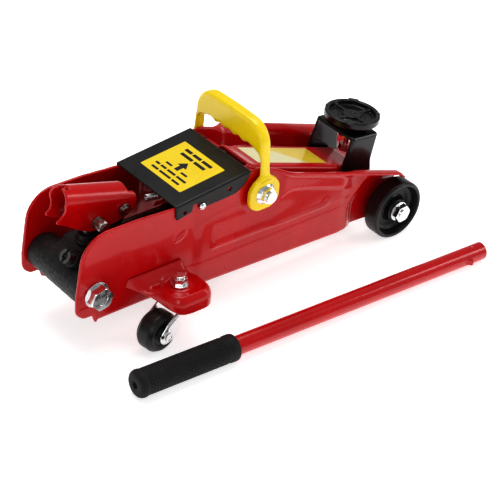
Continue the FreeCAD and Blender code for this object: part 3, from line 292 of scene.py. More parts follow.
def sd(A, B, poly):
    """Signed distance to a closed polygon over broadcast arrays, negative inside."""
    A, B = np.broadcast_arrays(A, B)
    best = np.full(A.shape, 1e12); ins = np.zeros(A.shape, bool)
    n = len(poly)
    for i in range(n):
        x0, y0 = poly[i]; x1, y1 = poly[(i + 1) % n]
        ex, ey = x1 - x0, y1 - y0
        L = ex * ex + ey * ey
        if L < 1e-12: continue
        t = np.clip(((A - x0) * ex + (B - y0) * ey) / L, 0, 1)
        dx, dy = A - x0 - t * ex, B - y0 - t * ey
        best = np.minimum(best, dx * dx + dy * dy)
        if abs(ey) > 1e-12:
            cr = ((y0 > B) != (y1 > B)) & (A < ex * (B - y0) / ey + x0)
            ins ^= cr
    d = np.sqrt(best)
    return np.where(ins, -d, d)


def sm(t):
    t = np.clip(t, 0, 1)
    return t * t * (3 - 2 * t)


def smax(a, b, r):
    """Intersection with a rounded edge of radius r."""
    if r <= 0: return np.maximum(a, b)
    u, v = np.maximum(a + r, 0), np.maximum(b + r, 0)
    return np.minimum(np.maximum(a, b), -r) + np.sqrt(u * u + v * v)


def smin(a, b, r):
    return -smax(-a, -b, r)


def ell(A, B, a, b, r=0.0):
    return np.hypot(A - a, B - b) - r


def rbox(A, B, ha, hb, r=0.0):
    qa, qb = np.abs(A) - ha + r, np.abs(B) - hb + r
    return np.hypot(np.maximum(qa, 0), np.maximum(qb, 0)) + np.minimum(np.maximum(qa, qb), 0) - r


def nets(fn, lo, hi, h, relax=2):
    """Surface of fn = 0 as quads; fn takes broadcastable x, y, z in millimetres and is negative inside."""
    ax = [np.arange(lo[i], hi[i] + h, h) for i in range(3)]
    X, Y, Z = ax[0][:, None, None], ax[1][None, :, None], ax[2][None, None, :]
    F = np.broadcast_to(fn(X, Y, Z), (len(ax[0]), len(ax[1]), len(ax[2]))).astype(np.float64)
    S = F < 0
    c8 = [(i, j, k) for i in (0, 1) for j in (0, 1) for k in (0, 1)]
    cnt = np.zeros(tuple(s - 1 for s in F.shape), np.int8)
    for i, j, k in c8:
        cnt += S[i:i + F.shape[0] - 1, j:j + F.shape[1] - 1, k:k + F.shape[2] - 1]
    I, J, K = np.nonzero((cnt > 0) & (cnt < 8))
    vals = {c: F[I + c[0], J + c[1], K + c[2]] for c in c8}
    acc, num = np.zeros((len(I), 3)), np.zeros(len(I))
    for a in c8:
        for d in range(3):
            if a[d] == 1: continue
            b = tuple(1 if q == d else a[q] for q in range(3))
            fa, fb = vals[a], vals[b]
            m = (fa < 0) != (fb < 0)
            t = np.where(m, fa / np.where(m, fa - fb, 1), 0)
            for q in range(3):
                acc[:, q] += np.where(m, (t if q == d else a[q]), 0)
            num += m
    V = np.stack([I, J, K], 1) + acc / num[:, None]
    idx = np.full(cnt.shape, -1, np.int64); idx[I, J, K] = np.arange(len(I))
    faces = []
    for d in range(3):
        e, f = [q for q in range(3) if q != d]
        sl = [slice(None)] * 3; sl2 = [slice(None)] * 3
        sl[d] = slice(0, -1); sl2[d] = slice(1, None)
        A, B = S[tuple(sl)], S[tuple(sl2)]
        ch = np.argwhere(A != B)
        ok = (ch[:, e] > 0) & (ch[:, f] > 0) & (ch[:, e] < S.shape[e] - 1) & (ch[:, f] < S.shape[f] - 1)
        ch = ch[ok]
        ins = A[ch[:, 0], ch[:, 1], ch[:, 2]]
        q = []
        for de, df in ((-1, -1), (0, -1), (0, 0), (-1, 0)):
            c = ch.copy(); c[:, e] += de; c[:, f] += df
            q.append(idx[c[:, 0], c[:, 1], c[:, 2]])
        q = np.stack(q, 1)
        flip = ins if d != 1 else ~ins
        q[~flip] = q[~flip][:, ::-1]
        faces.append(q)
    faces = np.concatenate(faces)
    faces = faces[(faces >= 0).all(1)]
    # slide the vertices onto the surface
    G = np.gradient(F)
    shape = np.array(F.shape)
    for _ in range(relax):
        b = np.clip(np.floor(V).astype(int), 0, shape - 2); w = V - b
        f, g = 0, np.zeros_like(V)
        for i, j, k in c8:
            ww = (w[:, 0] if i else 1 - w[:, 0]) * (w[:, 1] if j else 1 - w[:, 1]) * (w[:, 2] if k else 1 - w[:, 2])
            at = (b[:, 0] + i, b[:, 1] + j, b[:, 2] + k)
            f = f + ww * F[at]
            for q in range(3):
                g[:, q] += ww * G[q][at]
        step = -f[:, None] * g / np.maximum((g * g).sum(1), 0.05)[:, None]
        n = np.linalg.norm(step, axis=1)
        step *= np.minimum(1, 0.4 / np.maximum(n, 1e-9))[:, None]
        V = V + step
    return V * h + np.array(lo), faces


def placed(V, M):
    """4x4 in millimetres applied to an array of points."""
    M = np.array(M)
    return V @ M[:3, :3].T + M[:3, 3]


def rot_y(deg):
    return Matrix.Rotation(math.radians(deg), 4, "Y")


def lathe(profile, seg=72, close=False):
    """Profile of (radius, height) points about z, as rings of quads."""
    V, Fc = [], []
    n = len(profile)
    for k in range(seg):
        a = 2 * math.pi * k / seg
        V += [(r * math.cos(a), r * math.sin(a), z) for r, z in profile]
    for k in range(seg):
        for i in range(n - (0 if close else 1)):
            a, b = k * n + i, k * n + (i + 1) % n
            c, d = ((k + 1) % seg) * n + (i + 1) % n, ((k + 1) % seg) * n + i
            Fc.append((a, d, c, b))
    return np.array(V), np.array(Fc)


def fillet(profile, seg=4):
    """Rounded corners of an open or closed lathe profile given as (r, z[, radius])."""
    return rnd(profile, seg)


def helix(radius, wire, length, turns, seg=14, ring=8, ends=True):
    """Wound wire about x, as a tube of quads."""
    pts = []
    n = int(turns * seg)
    for i in range(n + 1):
        t = i / n
        a = 2 * math.pi * turns * t
        pts.append(((length * t), radius * math.cos(a), radius * math.sin(a)))
    pts = np.array(pts)
    T = np.gradient(pts, axis=0); T /= np.linalg.norm(T, axis=1)[:, None]
    V, Fc = [], []
    for p, t in zip(pts, T):
        a = np.array([0.0, p[1], p[2]]); a /= np.linalg.norm(a)
        b = np.cross(t, a); b /= np.linalg.norm(b)
        for k in range(ring):
            q = 2 * math.pi * k / ring
            V.append(p + wire * (math.cos(q) * a + math.sin(q) * b))
    for i in range(n):
        for k in range(ring):
            Fc.append((i * ring + k, i * ring + (k + 1) % ring, (i + 1) * ring + (k + 1) % ring, (i + 1) * ring + k))
    return np.array(V), np.array(Fc)


def finish_cad(node, mat, bevel=0.0005, seg=2):
    """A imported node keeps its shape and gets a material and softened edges."""
    o = NODES[node]
    if not o.material_slots:
        o.data.materials.append(mat)
    for s in o.material_slots:
        s.material = mat
    if bevel:
        w = o.modifiers.new("join", "WELD"); w.merge_threshold = 0.00001
        b = o.modifiers.new("edges", "BEVEL")
        b.width = bevel; b.segments = seg; b.limit_method = "ANGLE"; b.angle_limit = math.radians(32); b.use_clamp_overlap = True
        n = o.modifiers.new("shade", "WEIGHTED_NORMAL"); n.keep_sharp = True
    for p in o.data.polygons:
        p.use_smooth = True
    return o


# ------------------------------------------------------------- side plates
OUTLINE = rnd([(0, 33.2, 2), (-3, 42.3, 3), (-13, 42.3, 9), (-22, 50, 12), (-22.3, 68, 20), (-15.5, 132.8, 31),
               (45, 132.4, 60), (86, 129.7), (186, 140.4, 8), (375, 77.2, 9), (386, 66, 9), (392, 34, 16), (384, 14, 16), (345, 18.5, 20),
               (131, 27, 60), (60, 33.2, 50)])
CREASE = [(100, 104), (118.6, 102.2), (140, 106), (163, 107.7), (190, 101.5), (210, 94.2), (217, 95.2), (224, 99.2), (233.4, 100.1),
          (250, 95.6), (270, 89), (303, 77.5), (330, 68)]


def crease_z(x):
    return np.interp(x, [c[0] for c in CREASE], [c[1] for c in CREASE])


def emboss(x, z):
    """How far the pressed panel stands out of the plate, in millimetres."""
    panel = 1.7 * sm((x - 110) / 13) * (1 - sm((x - 300) / 18))
    # bead: sharp lower edge along a line, fading out upwards
    zl = 66.8 + (64.0 - 66.8) * (x - 136) / (281.6 - 136)
    a = z - zl
    along = sm((x - 131) / 6) * (1 - sm((x - 205) / 82))
    bead = 1.7 * sm((a + 1.2) / 2.8) * (1 - sm((a - 3) / 26)) * along
    bead = bead + 0.9 * np.exp(-((a - 1.5) / 2.2) ** 2) * sm((x - 200) / 30) * (1 - sm((x - 274) / 9))
    hook = 0.9 * np.exp(-(((x - 281.0) / 4.6) ** 2 + ((z - 67.8) / 4.2) ** 2))
    # band between the crease and the flange
    b = z - crease_z(x)
    near = np.hypot(x - 190, z - 115)
    band = 2.5 * sm((b + 1.5) / 5.0) * sm((x - 214) / 8) * (1 - sm((x - 296) / 30)) + 0.9 * sm((b + 2) / 6) * (1 - sm((x - 214) / 8)) * sm((x - 112) / 12) * -1.0
    e = panel + bead + hook + band
    e = np.where(near < 30, np.minimum(e, 1.05 + 2.6 * sm((near - 21.5) / 8)), e)
    oval = 1.2 * (1 - sm((np.hypot((x - 96) * 0.86 + (z - 95) * 0.5, ((z - 95) * 0.86 - (x - 96) * 0.5) * 2.1) - 6) / 3.5))
    tube = 0.0 * x
    # keep the edges of the sheet flat at the rear and under the cover
    return e, oval


RECESS = rnd([(322, -10), (319, 50, 20), (342, 76.0, 16), (371, 69, 30), (430, 58), (430, -10)])


def plate_field(x, y, z):
    s = sd(x, z, OUTLINE)
    e, oval = emboss(x, z)
    hx = 45.5 - (45.5 - 36.6) * sm((7 - sd(x, z, RECESS)) / 18)
    mid = hx - 1.5 + e + oval
    uu = y - mid
    v = s + 1.5
    flange = sm((x - 200) / 30)
    W = flange * sm((z - 63.5) / 7) * np.maximum(58.5 - mid - 1.5, 0)
    R = np.clip(W, 0.05, 9.0)

    def path(u, v, R):
        arc = np.abs(np.hypot(u - R, v + R) - R)
        d = np.where(v < -R, np.abs(u), np.where(u > R, np.abs(v), arc))
        return np.where((v < -R) & (u > R), np.minimum(np.abs(u), np.abs(v)), d)

    top = path(uu, v, R) - 1.5
    top = smax(top, uu - (1.5 + W), 0.7)
    top = smax(top, s, 0.7)
    Wb = 11.5 * sm((x - 1) / 6) * (1 - sm((x - 312) / 12))
    Rb = np.clip(Wb, 0.05, 4.5)
    bot = path(-uu, v, Rb) - 1.5
    bot = smax(bot, -uu - (1.5 + Wb), 0.7)
    bot = smax(bot, s, 0.7)
    d = np.where(z > 56, top, bot)
    for hx_, hz, hr in ((0, 66.6, 6.3), (190, 115, 7.1), (374, 32.5, 6.1)):
        d = np.maximum(d, hr - np.hypot(x - hx_, z - hz))
    return d


V_, F_ = nets(plate_field, (-25, 28, 11), (395, 63, 144), 1.05)
for side, sg in (("right", -1), ("left", 1)):
    V2 = V_.copy(); V2[:, 1] *= sg
    make("plate_" + side, V2, F_ if sg > 0 else F_[:, ::-1], RED, "chassis", ["side_plate_" + side])

# ----------------------------------------------------------- caster shelves
SHELF = rnd([(33, 44), (100, 44, 4), (105.6, 66, 14), (105.2, 93.6, 24.8), (58.5, 93.6, 24.5), (54.5, 67, 14), (33.2, 45.6)])


def shelf_field(x, y, z):
    pl = sd(x, y, SHELF)
    near = np.hypot(x - 80, y - 68)
    t = np.clip((y - 45.5) / 15.0, 0, 1)
    zt = 60 + 15.6 * (1 - t) ** 2
    zt = zt - 0.7 * sm((near - 9.5) / 3) * (1 - sm((near - 15) / 4)) + 1.9 * np.exp(-((pl + 4.6) / 2.7) ** 2) * sm((y - 56) / 12)
    slope = z - zt
    slope = slope / np.sqrt(1 + (2.08 * (1 - t)) ** 2)
    outer = smax(pl, slope, 7.5)
    inner = outer + 2.9
    skirt = np.interp(x, [20, 38, 50, 56, 64, 77, 102, 120], [64, 59, 53, 48.5, 44.5, 42.6, 42.6, 44])
    d = smax(np.maximum(outer, -inner), (skirt - z) * 0.8, 0.8)
    d = np.maximum(d, 5.1 - near)
    return np.maximum(d, 45.45 - y)


V_, F_ = nets(shelf_field, (28, 43, 40), (109, 96, 80), 0.7)
for side, sg in (("right", -1), ("left", 1)):
    V2 = V_.copy(); V2[:, 1] *= sg
    make("shelf_" + side, V2, F_ if sg > 0 else F_[:, ::-1], RED, "chassis", ["caster_shelf_" + side])

# ---------------------------------------------------------------- lift arm
zt_arm = lambda x: 123.0 - 0.34 * (x - 210.0)
ARM = rnd([(170.5, 128, 16), (196, 129.2, 10), (205, zt_arm(205)), (350, zt_arm(350), 9), (357.5, 57, 11), (340, 50.0, 13), (232, 90, 40), (196, 84, 18),
           (181, 58, 12), (157, 55.5, 12), (150.5, 72, 12)])
ARM_IN = rnd([(100, 0), (100, 180), (195, 180), (195, zt_arm(195) - 4.2, 5), (420, zt_arm(420) - 4.2), (420, 0)])


def arm_field(x, y, z):
    ay = np.abs(y)
    outer = smax(sd(x, z, ARM), ay - 24.0, 4.5)
    inner = smax(sd(x, z, ARM_IN), ay - 20.0, 3.0)
    d = smax(outer, -inner, 0.6)
    for a, b, r in ((190, 115, 7.1), (165, 70, 7.1), (342, 66, 6.1)):
        d = np.maximum(d, r - np.hypot(x - a, z - b))
    return d


V_, F_ = nets(arm_field, (148, -26, 47), (360, 26, 132), 1.0)
make("arm_pressing", V_, F_, RED, "lift_arm", ["lift_arm"])

# ---------------------------------------------------------- saddle bracket
YOKE = rnd([(328.2, 117.6, 2.5), (364.4, 114.1, 3), (358.5, 84, 20), (361, 66, 12), (360.5, 36, 9), (352, 28.5, 9), (340.5, 32, 9), (326, 58, 14), (317.0, 84, 8)])
web = lambda x: 117.6 - (117.6 - 114.1) / 36.2 * (x - 328.2)
YOKE_IN = rnd([(280, 0), (280, web(280) - 3.5), (400, web(400) - 3.5), (400, 0)])
LEAN = 5.52
SEAT = Vector((349.5, 0, web(349.5) + 0.35))
NX, NZ = math.sin(math.radians(LEAN)), math.cos(math.radians(LEAN))


def yoke_field(x, y, z):
    ay = np.abs(y)
    outer = smax(sd(x, z, YOKE), ay - 28.5, 4.0)
    inner = smax(sd(x, z, YOKE_IN), ay - 25.0, 2.5)
    d = smax(outer, -inner, 0.5)
    t = (x - SEAT.x) * NZ - (z - SEAT.z) * NX
    d = np.maximum(d, np.where(z > 100, 7.1 - np.hypot(t, y), -9))
    for a, b, r in ((342, 66, 6.05), (350, 38, 5.05)):
        d = np.maximum(d, r - np.hypot(x - a, z - b))
    return d


V_, F_ = nets(yoke_field, (314, -30, 26), (367, 30, 120), 0.85)
make("bracket_pressing", V_, F_, BLACK_GLOSS, "saddle_bracket", ["saddle_bracket"])

# ------------------------------------------------------------------ saddle
CUP = [(0, 0), (15, 0), (20, 3), (27, 4.6), (29, 6.5), (29, 12.2), (27.8, 13.2), (25.4, 13.2), (24.2, 12.2), (23.8, 8.6), (0, 7.6)]


def saddle_field(x, y, z):
    r = np.hypot(x, y)
    d = sd(r, z, rnd([(-30, 0), (15, 0, 2), (20, 3, 2), (27, 4.6, 2), (29, 6.5, 1), (29, 13.2, 1.2), (24.2, 13.2, 1.2), (23.8, 8.2, 1.5), (-30, 7.2)], 4))
    # raised rings and the cross inside the cup
    disc = np.maximum(r - 9.6, np.abs(z - 8) - 2.7)
    ring = np.maximum(np.abs(r - 12.8) - 1.0, np.abs(z - 7.5) - 1.3)
    cross = np.maximum(np.minimum(np.maximum(np.abs(x) - 2.0, np.abs(y) - 24.3), np.maximum(np.abs(y) - 2.0, np.abs(x) - 24.3)), np.abs(z - 7.8) - 2.5)
    d = smin(d, smin(disc, smin(ring, cross, 0.8), 0.8), 0.9)
    # dished middle
    d = smax(d, -(np.hypot(r, z - 17.4) - 7.6), 0.5)
    for a in (45, 135, 225, 315):
        c, s = math.cos(math.radians(a)), math.sin(math.radians(a))
        u, v = x * c + y * s, -x * s + y * c
        lug = smax(np.maximum(np.abs(u - 26.2) - 2.1, np.abs(v) - 5.2 - 0 * z), np.abs(z - 12.2) - 2.4, 0.8)
        d = smin(d, lug, 1.0)
    stem = np.maximum(r - 7.0, np.abs(z + 6) - 6.6)
    d = smin(d, stem, 0.4)
    return np.maximum(d, 0 * z - 50)


V_, F_ = nets(saddle_field, (-30.5, -30.5, -13.5), (30.5, 30.5, 16.5), 0.62)
M_SEAT = Matrix.Translation(SEAT) @ rot_y(LEAN)
make("saddle_cup", placed(V_, M_SEAT), F_, BLACK_GLOSS, "saddle", ["saddle"])

# ------------------------------------------------------------- cover plate
COVER = rnd([(86.5, 131.5, 1.2), (177, 142.0, 2), (176, 137, 5), (169.5, 127, 10), (158, 120.9, 8), (115.5, 118.8, 2), (113.2, 126.5, 1.5),
             (108.6, 126.5, 1.5), (107.2, 119.2, 2), (88, 114.8, 3)])
zc = lambda x: 131.5 + 0.11602 * (x - 86.5)
COVER_IN = rnd([(60, zc(60) - 1.5), (200, zc(200) - 1.5), (200, 90), (60, 90)])


def cover_field(x, y, z):
    ay = np.abs(y)
    outer = smax(sd(x, z, COVER), ay - 47.6, 2.2)
    inner = smax(sd(x, z, COVER_IN), ay - 46.1, 1.0)
    d = smax(outer, -inner, 0.3)
    for a, b, r in ((118.3, 122.3, 2.1), (150.8, 130.0, 2.0), (97.7, 121.9, 1.9)):
        d = np.maximum(d, np.where(ay > 40, r - np.hypot(x - a, z - b), -9))
    return d


V_, F_ = nets(cover_field, (84, -49, 112), (180, 49, 145), 0.66)
make("cover_folded", V_, F_, BLACK, "chassis", ["cover_plate"])

# ------------------------------------------------------------ carry handle
_half = [(-55, 120), (-55, 129, 10), (-52.8, 143, 30), (-49, 186, 30)]
_under = [(-48.5, 120), (-48.2, 155, 9), (-34, 159, 8)]
_grip = [(28, 160.2, 5), (21, 157.4, 5), (14, 160.4, 5), (7, 157.4, 5), (0, 160.4, 5), (-7, 157.4, 5), (-14, 160.4, 5), (-21, 157.4, 5), (-28, 160.2, 5)]
_flip = lambda pts: [(-p[0],) + tuple(p[1:]) for p in pts]
BAIL = rnd(_half + [(0, 187.5, 200)] + _flip(_half)[::-1] + _flip(_under) + _grip + _under[::-1])
EYE = rnd([(-6.9, 17), (-12.5, 14, 8), (-18.5, 6, 12), (-18.5, -11, 13), (-9, -18.5, 13), (9, -18.5, 13), (18.5, -11, 13), (18.5, 6, 12), (12.5, 14, 8), (6.9, 17)])


def bail_field(x, y, z):
    X = x - 190
    ay = np.abs(y)
    w = 6.4 - 0.2 * sm((150 - z) / 15)
    bar = smax(sd(y, z, BAIL), np.abs(X) - w, 4.2)
    eye = smax(sd(X, z - 115, EYE), np.abs(ay - 51.75) - 3.25, 2.2)
    d = smin(bar, eye, 4.0)
    d = smax(d, -(smax(np.abs(np.hypot(X, z - 115) - 15.9) - 0.8, 54.5 - ay, 0.3)), 0.3)
    return np.maximum(d, 6.1 - np.hypot(X, z - 115))


V_, F_ = nets(bail_field, (168, -57.5, 93), (212, 57.5, 190), 0.9)
make("carry_bail", V_, F_, YELLOW, "carry_handle", ["carry_handle"])

# ----------------------------------------------------------- handle socket
TILT = 15.6
MOUTH = Vector((-13.2, 0, 149.6))
SA = math.radians(TILT)


def to_socket(x, z):
    dx, dz = x - MOUTH.x, z - MOUTH.z
    return (dx * math.cos(SA) - dz * math.sin(SA), dx * math.sin(SA) + dz * math.cos(SA))


SOCK = [(0, 30), (0, 0)] + [to_socket(*q) for q in ((-22.5, 131.5), (-13.5, 126.8), (3.5, 117.2), (14, 112), (26, 110), (44, 111.5), (62, 118.5), (66.5, 124.5), (67.2, 136.3), (59.5, 138.0), (58.5, 145.2), (56, 153))]
SOCK = rnd([SOCK[0], (0, -1, 8), (2.6, -7, 8), (2.2, -14, 8)] + [(q[0], q[1], 4) for q in SOCK[2:]] + [(SOCK[-1][0], 30)])


def socket_field(x, y, z):
    mid = 12.25
    curl = mid - 3.4 * sm((-z - 2) / 14) * (1 - sm((x - 10) / 16))
    d = np.where(z > 0, np.abs(np.hypot(y, z) - mid), np.abs(np.abs(y) - curl)) - 1.25
    d = smax(d, sd(x, z, SOCK), 0.7)
    notch = np.maximum(np.maximum(np.abs(y - 1.0) - 2.4, x - 7.0), 4 - z)
    hook = np.maximum(np.maximum(np.abs(y + 1.2) - 3.4, np.abs(x - 5.2) - 2.0), 4 - z)
    d = smax(d, -np.minimum(notch, hook), 0.4)
    for a, b, r in ((52, 124, 4.1), (22, 120, 4.1)):
        lx, lz = to_socket(a, b)
        d = np.maximum(d, r - np.hypot(x - lx, z - lz))
    return d


V_, F_ = nets(socket_field, (-12, -15, -36), (90, 15, 15), 0.68)
make("socket_pressing", placed(V_, Matrix.Translation(MOUTH) @ rot_y(TILT)), F_, RED, "handle_socket", ["handle_socket"])


# ----------------------------------------------------------- pump casting
def wobble(x, y, z, a=0.35):
    return a * (np.sin(x * 0.9 + 1.3 * np.sin(y * 0.55)) * np.sin(z * 0.8 + 0.7 * np.sin(x * 0.4)) + 0.6 * np.sin(y * 1.1 + z * 0.6) * np.sin(x * 1.3))


def cast_field(x, y, z):
    ay = np.abs(y)
    tube = smax(np.hypot(x, z - 66.6) - 18.0, ay - 42.1, 1.2)
    blk = smax(sd(x, z, rnd([(4, 50, 4), (34.8, 46, 3), (34.8, 90.4, 3), (31, 92.6, 2), (10, 91.5, 4), (4, 84, 4)])), ay - 23, 2.5)
    post = smax(sd(x, z, rnd([(34.0, 86), (34.0, 104, 6), (44.3, 131, 7.5), (60, 131, 7.5), (60, 116, 7), (44, 92.0, 3), (34.6, 91.4)])), ay - 10.2, 1.5)
    ear = smax(rbox(x - 29.2, z - 68, 5.2, 8, 2), ay - 37, 2)
    d = smin(smin(smin(tube, blk, 5.0), post, 3.0), ear, 3.0)
    d = d + wobble(x, y, z, 0.16) * (np.abs(ay - 42) > 2)
    d = np.maximum(d, 6.2 - np.hypot(x, z - 66.6))
    d = np.maximum(d, np.where(z > 100, 4.1 - np.hypot(x - 52, z - 124), -9))
    ta = (x - 1.5) * -0.8211 + (z - 86.2) * 0.5708
    d = np.maximum(d, np.where(ta > 0, 8.55 - np.hypot((x - 1.5) * 0.5708 + (z - 86.2) * 0.8211, y + 16), -9))
    return np.maximum(d, np.where(z > 55, 5.62 - np.hypot(x - 22, y), -9))


V_, F_ = nets(cast_field, (-20, -44, 44), (63, 44, 133), 0.95)
make("pump_casting", V_, F_, CAST, "chassis", ["power_unit_casting"])

# ------------------------------------------------------------ caster forks
FORK = rnd([(-11.2, 53.0, 3), (11.2, 53.0, 3), (11.2, 46, 6), (3, 36, 14), (-18.5, 13.0, 8), (-33, 9.8, 9), (-38.4, 22, 9), (-28, 33, 10), (-11.2, 43.5, 8)])
FORK_IN = rnd([(-80, 0), (-80, 50.4), (60, 50.4), (60, 0)])


def fork_field(x, y, z):
    ay = np.abs(y)
    outer = smax(sd(x, z, FORK), ay - 14.5, 2.6)
    inner = smax(sd(x, z, FORK_IN), ay - 12.0, 1.5)
    d = smax(outer, -inner, 0.4)
    top = smax(np.hypot(x, y) - 11, np.abs(z - 54.5) - 2.1, 0.8)
    stem = np.maximum(np.hypot(x, y) - 5.0, np.abs(z - 60.6) - 10.1)
    d = smin(smin(d, top, 0.8), stem, 0.3)
    # ring pressed round the axle
    rr = np.hypot(x + 28, z - 20.5)
    d = smin(d, smax(np.abs(rr - 5.6) - 1.1, np.abs(ay - 14.6) - 0.7, 0.5), 0.4)
    return np.maximum(d, 3.55 - rr)


VF, FF = nets(fork_field, (-41, -16.5, 8), (14, 16.5, 72), 0.62)
TURN = {"right": 9.0, "left": -4.0}
for side, sg in (("right", -1), ("left", 1)):
    M = Matrix.Translation((80, sg * 68, 0)) @ Matrix.Rotation(math.radians(TURN[side]), 4, "Z")
    make("fork_" + side, placed(VF, M), FF, ZINC, "caster_" + side, ["caster_fork_" + side])
    # caster wheel: barrelled tread, recessed face with a ring and hub
    prof = rnd([(3.6, -10.8), (7.6, -10.8, 0.8), (8.4, -8.1, 1), (12.2, -7.9, 0.8), (12.8, -9.1, 0.5), (14.2, -9.1, 0.5), (14.6, -10.0, 0.8), (17.4, -9.9, 1.5), (20.5, -5.6, 3),
                (20.5, 5.6, 3), (17.4, 9.9, 1.5), (14.6, 10.0, 0.8), (14.2, 9.1, 0.5), (12.8, 9.1, 0.5), (12.2, 7.9, 0.8), (8.4, 8.1, 1), (7.6, 10.8, 0.8), (3.6, 10.8)], 5)
    Vw, Fw = lathe(prof, 96, True)
    Mw = M @ Matrix.Translation((-28, 0, 20.5)) @ Matrix.Rotation(math.radians(-90), 4, "X")
    make("caster_roller_" + side, placed(Vw, Mw), Fw, BLACK_PL, "caster_wheel_" + side, ["caster_wheel_" + side])

# ------------------------------------------------------------ front wheels
prof = rnd([(6.1, 37.4), (12.5, 37.4, 1), (14.5, 47.2, 2), (25.8, 48.2, 2), (27, 44.5, 1.0), (30.6, 43.5, 1.4), (32.5, 45.1, 1.4), (32.5, 60.0, 2.0), (30.6, 62.0, 1.6),
            (28.2, 61.8, 1.2), (26.8, 57.0, 1.5), (25.9, 52.8, 2.5), (22, 51.6, 4), (15.5, 51.8, 2.5), (13.3, 54.0, 2), (12.2, 59.2, 1.0), (10.6, 60.4, 0.8), (6.1, 60.4)], 5)
Vw, Fw = lathe(prof, 120, True)
for side, sg in (("right", -1), ("left", 1)):
    Mw = Matrix.Translation((374, 0, 32.5)) @ Matrix.Rotation(math.radians(-90 * sg), 4, "X")
    make("front_roller_" + side, placed(Vw, Mw), Fw, BLACK_PL, "front_wheel_" + side, ["front_wheel_" + side])

# ------------------------------------------------------------- pump handle
HAND = (Matrix.Translation((-9.5, -121.8, 15.06)) @ Matrix.Rotation(math.radians(-2.35), 4, "Z")
        @ rot_y(math.degrees(math.atan2(4.1, 322.0))) @ rot_y(90))


def grip():
    """Moulded sleeve: domed rear end with a hole, fine raised pads round the barrel, smooth collar at the front."""
    prof = [(3.2, 0.9), (3.6, 0.15), (5.2, 0.0), (9.6, 0.0), (11.2, 0.5), (12.6, 1.6), (13.5, 3.2), (13.9, 5.4), (13.7, 7.4), (12.9, 8.6)]
    z = 9.2
    while z < 99.6:
        prof.append((13.0, z)); z += 0.42
    prof += [(12.7, 100.2), (12.6, 101.4), (13.0, 102.4), (13.5, 103.4), (13.6, 105.0), (13.6, 109.2), (13.3, 110.8), (12.6, 111.8), (11.2, 112.0), (9.55, 112.0), (9.55, 108)]
    seg = 220
    V = []
    for k in range(seg):
        a = 2 * math.pi * k / seg
        for r, zz in prof:
            rr = r
            if 9.8 < zz < 99.4:
                # staggered rows of small pads
                row = (zz - 9.8) / 3.2
                i = int(row); u = row - i
                c = (a / (2 * math.pi) * 22 + 0.5 * (i % 2)) % 1.0
                pad_ = min(sm_f(u / 0.22), sm_f((1 - u) / 0.22), sm_f(c / 0.16), sm_f((1 - c) / 0.16))
                rr = r - 0.55 + 0.75 * pad_
            V.append((rr * math.cos(a), rr * math.sin(a), zz))
    n = len(prof)
    F = []
    for k in range(seg):
        for i in range(n - 1):
            a, b = k * n + i, k * n + i + 1
            c, d = ((k + 1) % seg) * n + i + 1, ((k + 1) % seg) * n + i
            F.append((a, d, c, b))
    base = len(V)
    V.append((0, 0, 3.9))
    ring = []
    for k in range(seg):
        a = 2 * math.pi * k / seg
        V.append((3.2 * math.cos(a), 3.2 * math.sin(a), 3.9))
    for k in range(seg):
        j = (k + 1) % seg
        F.append((base + 1 + k, base + 1 + j, j * n, k * n))
    Fq = np.array(F)
    return np.array(V), Fq, base, seg


def sm_f(t):
    t = 0.0 if t < 0 else (1.0 if t > 1 else t)
    return t * t * (3 - 2 * t)


Vg, Fg, base, seg = grip()
Fl = [tuple(f) for f in Fg] + [(base, base + 1 + (k + 1) % seg, base + 1 + k) for k in range(seg)]
make("grip_sleeve", placed(Vg, HAND), Fl, RUBBER, "pump_handle", ["handle_grip"])

# tube with rounded mouth, a shallow locating dimple and the pressed-out lug
HL = 432.0


def tube():
    R, r = 9.5, 8.2
    zs = [8.0, 60] + [112 + 8 * k for k in range(37)] + [HL - 24 + 0.5 * k for k in range(47)] + [HL - 0.35]
    prof = [(R, z) for z in zs] + [(R - 0.15, HL - 0.08), (R - 0.4, HL), (r + 0.3, HL), (r + 0.05, HL - 0.15), (r, HL - 0.5), (r, HL - 8), (r, HL - 30), (r, 200), (r, 8)]
    seg = 120
    V = []
    for k in range(seg):
        a = 2 * math.pi * k / seg
        for q, z in prof:
            # dimple on the upper side (own axes: -x is up), 20 mm from the end
            da = (a - math.pi + math.pi) % (2 * math.pi) - math.pi
            dx = abs(((a - math.pi) + math.pi) % (2 * math.pi) - math.pi) * R
            dd = math.hypot(dx, z - (HL - 14.5))
            V.append(((q - 0.9 * (1 - sm_f(dd / 2.8)) * (1 if q > 9 else 0.6)) * math.cos(a), (q - 0.9 * (1 - sm_f(dd / 2.8)) * (1 if q > 9 else 0.6)) * math.sin(a), z))
    n = len(prof)
    F = []
    for k in range(seg):
        for i in range(n - 1):
            a, b = k * n + i, k * n + i + 1
            c, d = ((k + 1) % seg) * n + i + 1, ((k + 1) % seg) * n + i
            F.append((a, d, c, b))
    return np.array(V), np.array(F)


Vt, Ft = tube()
make("tube_painted", placed(Vt, HAND), Ft, RED_TUBE, "pump_handle", ["handle_tube"])


def lug_field(x, y, z):
    t = z - (HL - 29.0)
    prof = rnd([(-8.2, -1.0), (-13.6, 4.2, 1.2), (-13.6, 6.8, 1.2), (-8.2, 8.4)])
    d = smax(sd(y, t, prof), np.abs(x) - 2.6, 0.8)
    return np.maximum(d, 9.2 - np.hypot(x, y))


V_, F_ = nets(lug_field, (-4, -15, HL - 33), (4, -7, HL - 18), 0.4)
make("tube_lug", placed(V_, HAND), F_, RED_TUBE, "pump_handle", ["handle_lug"])

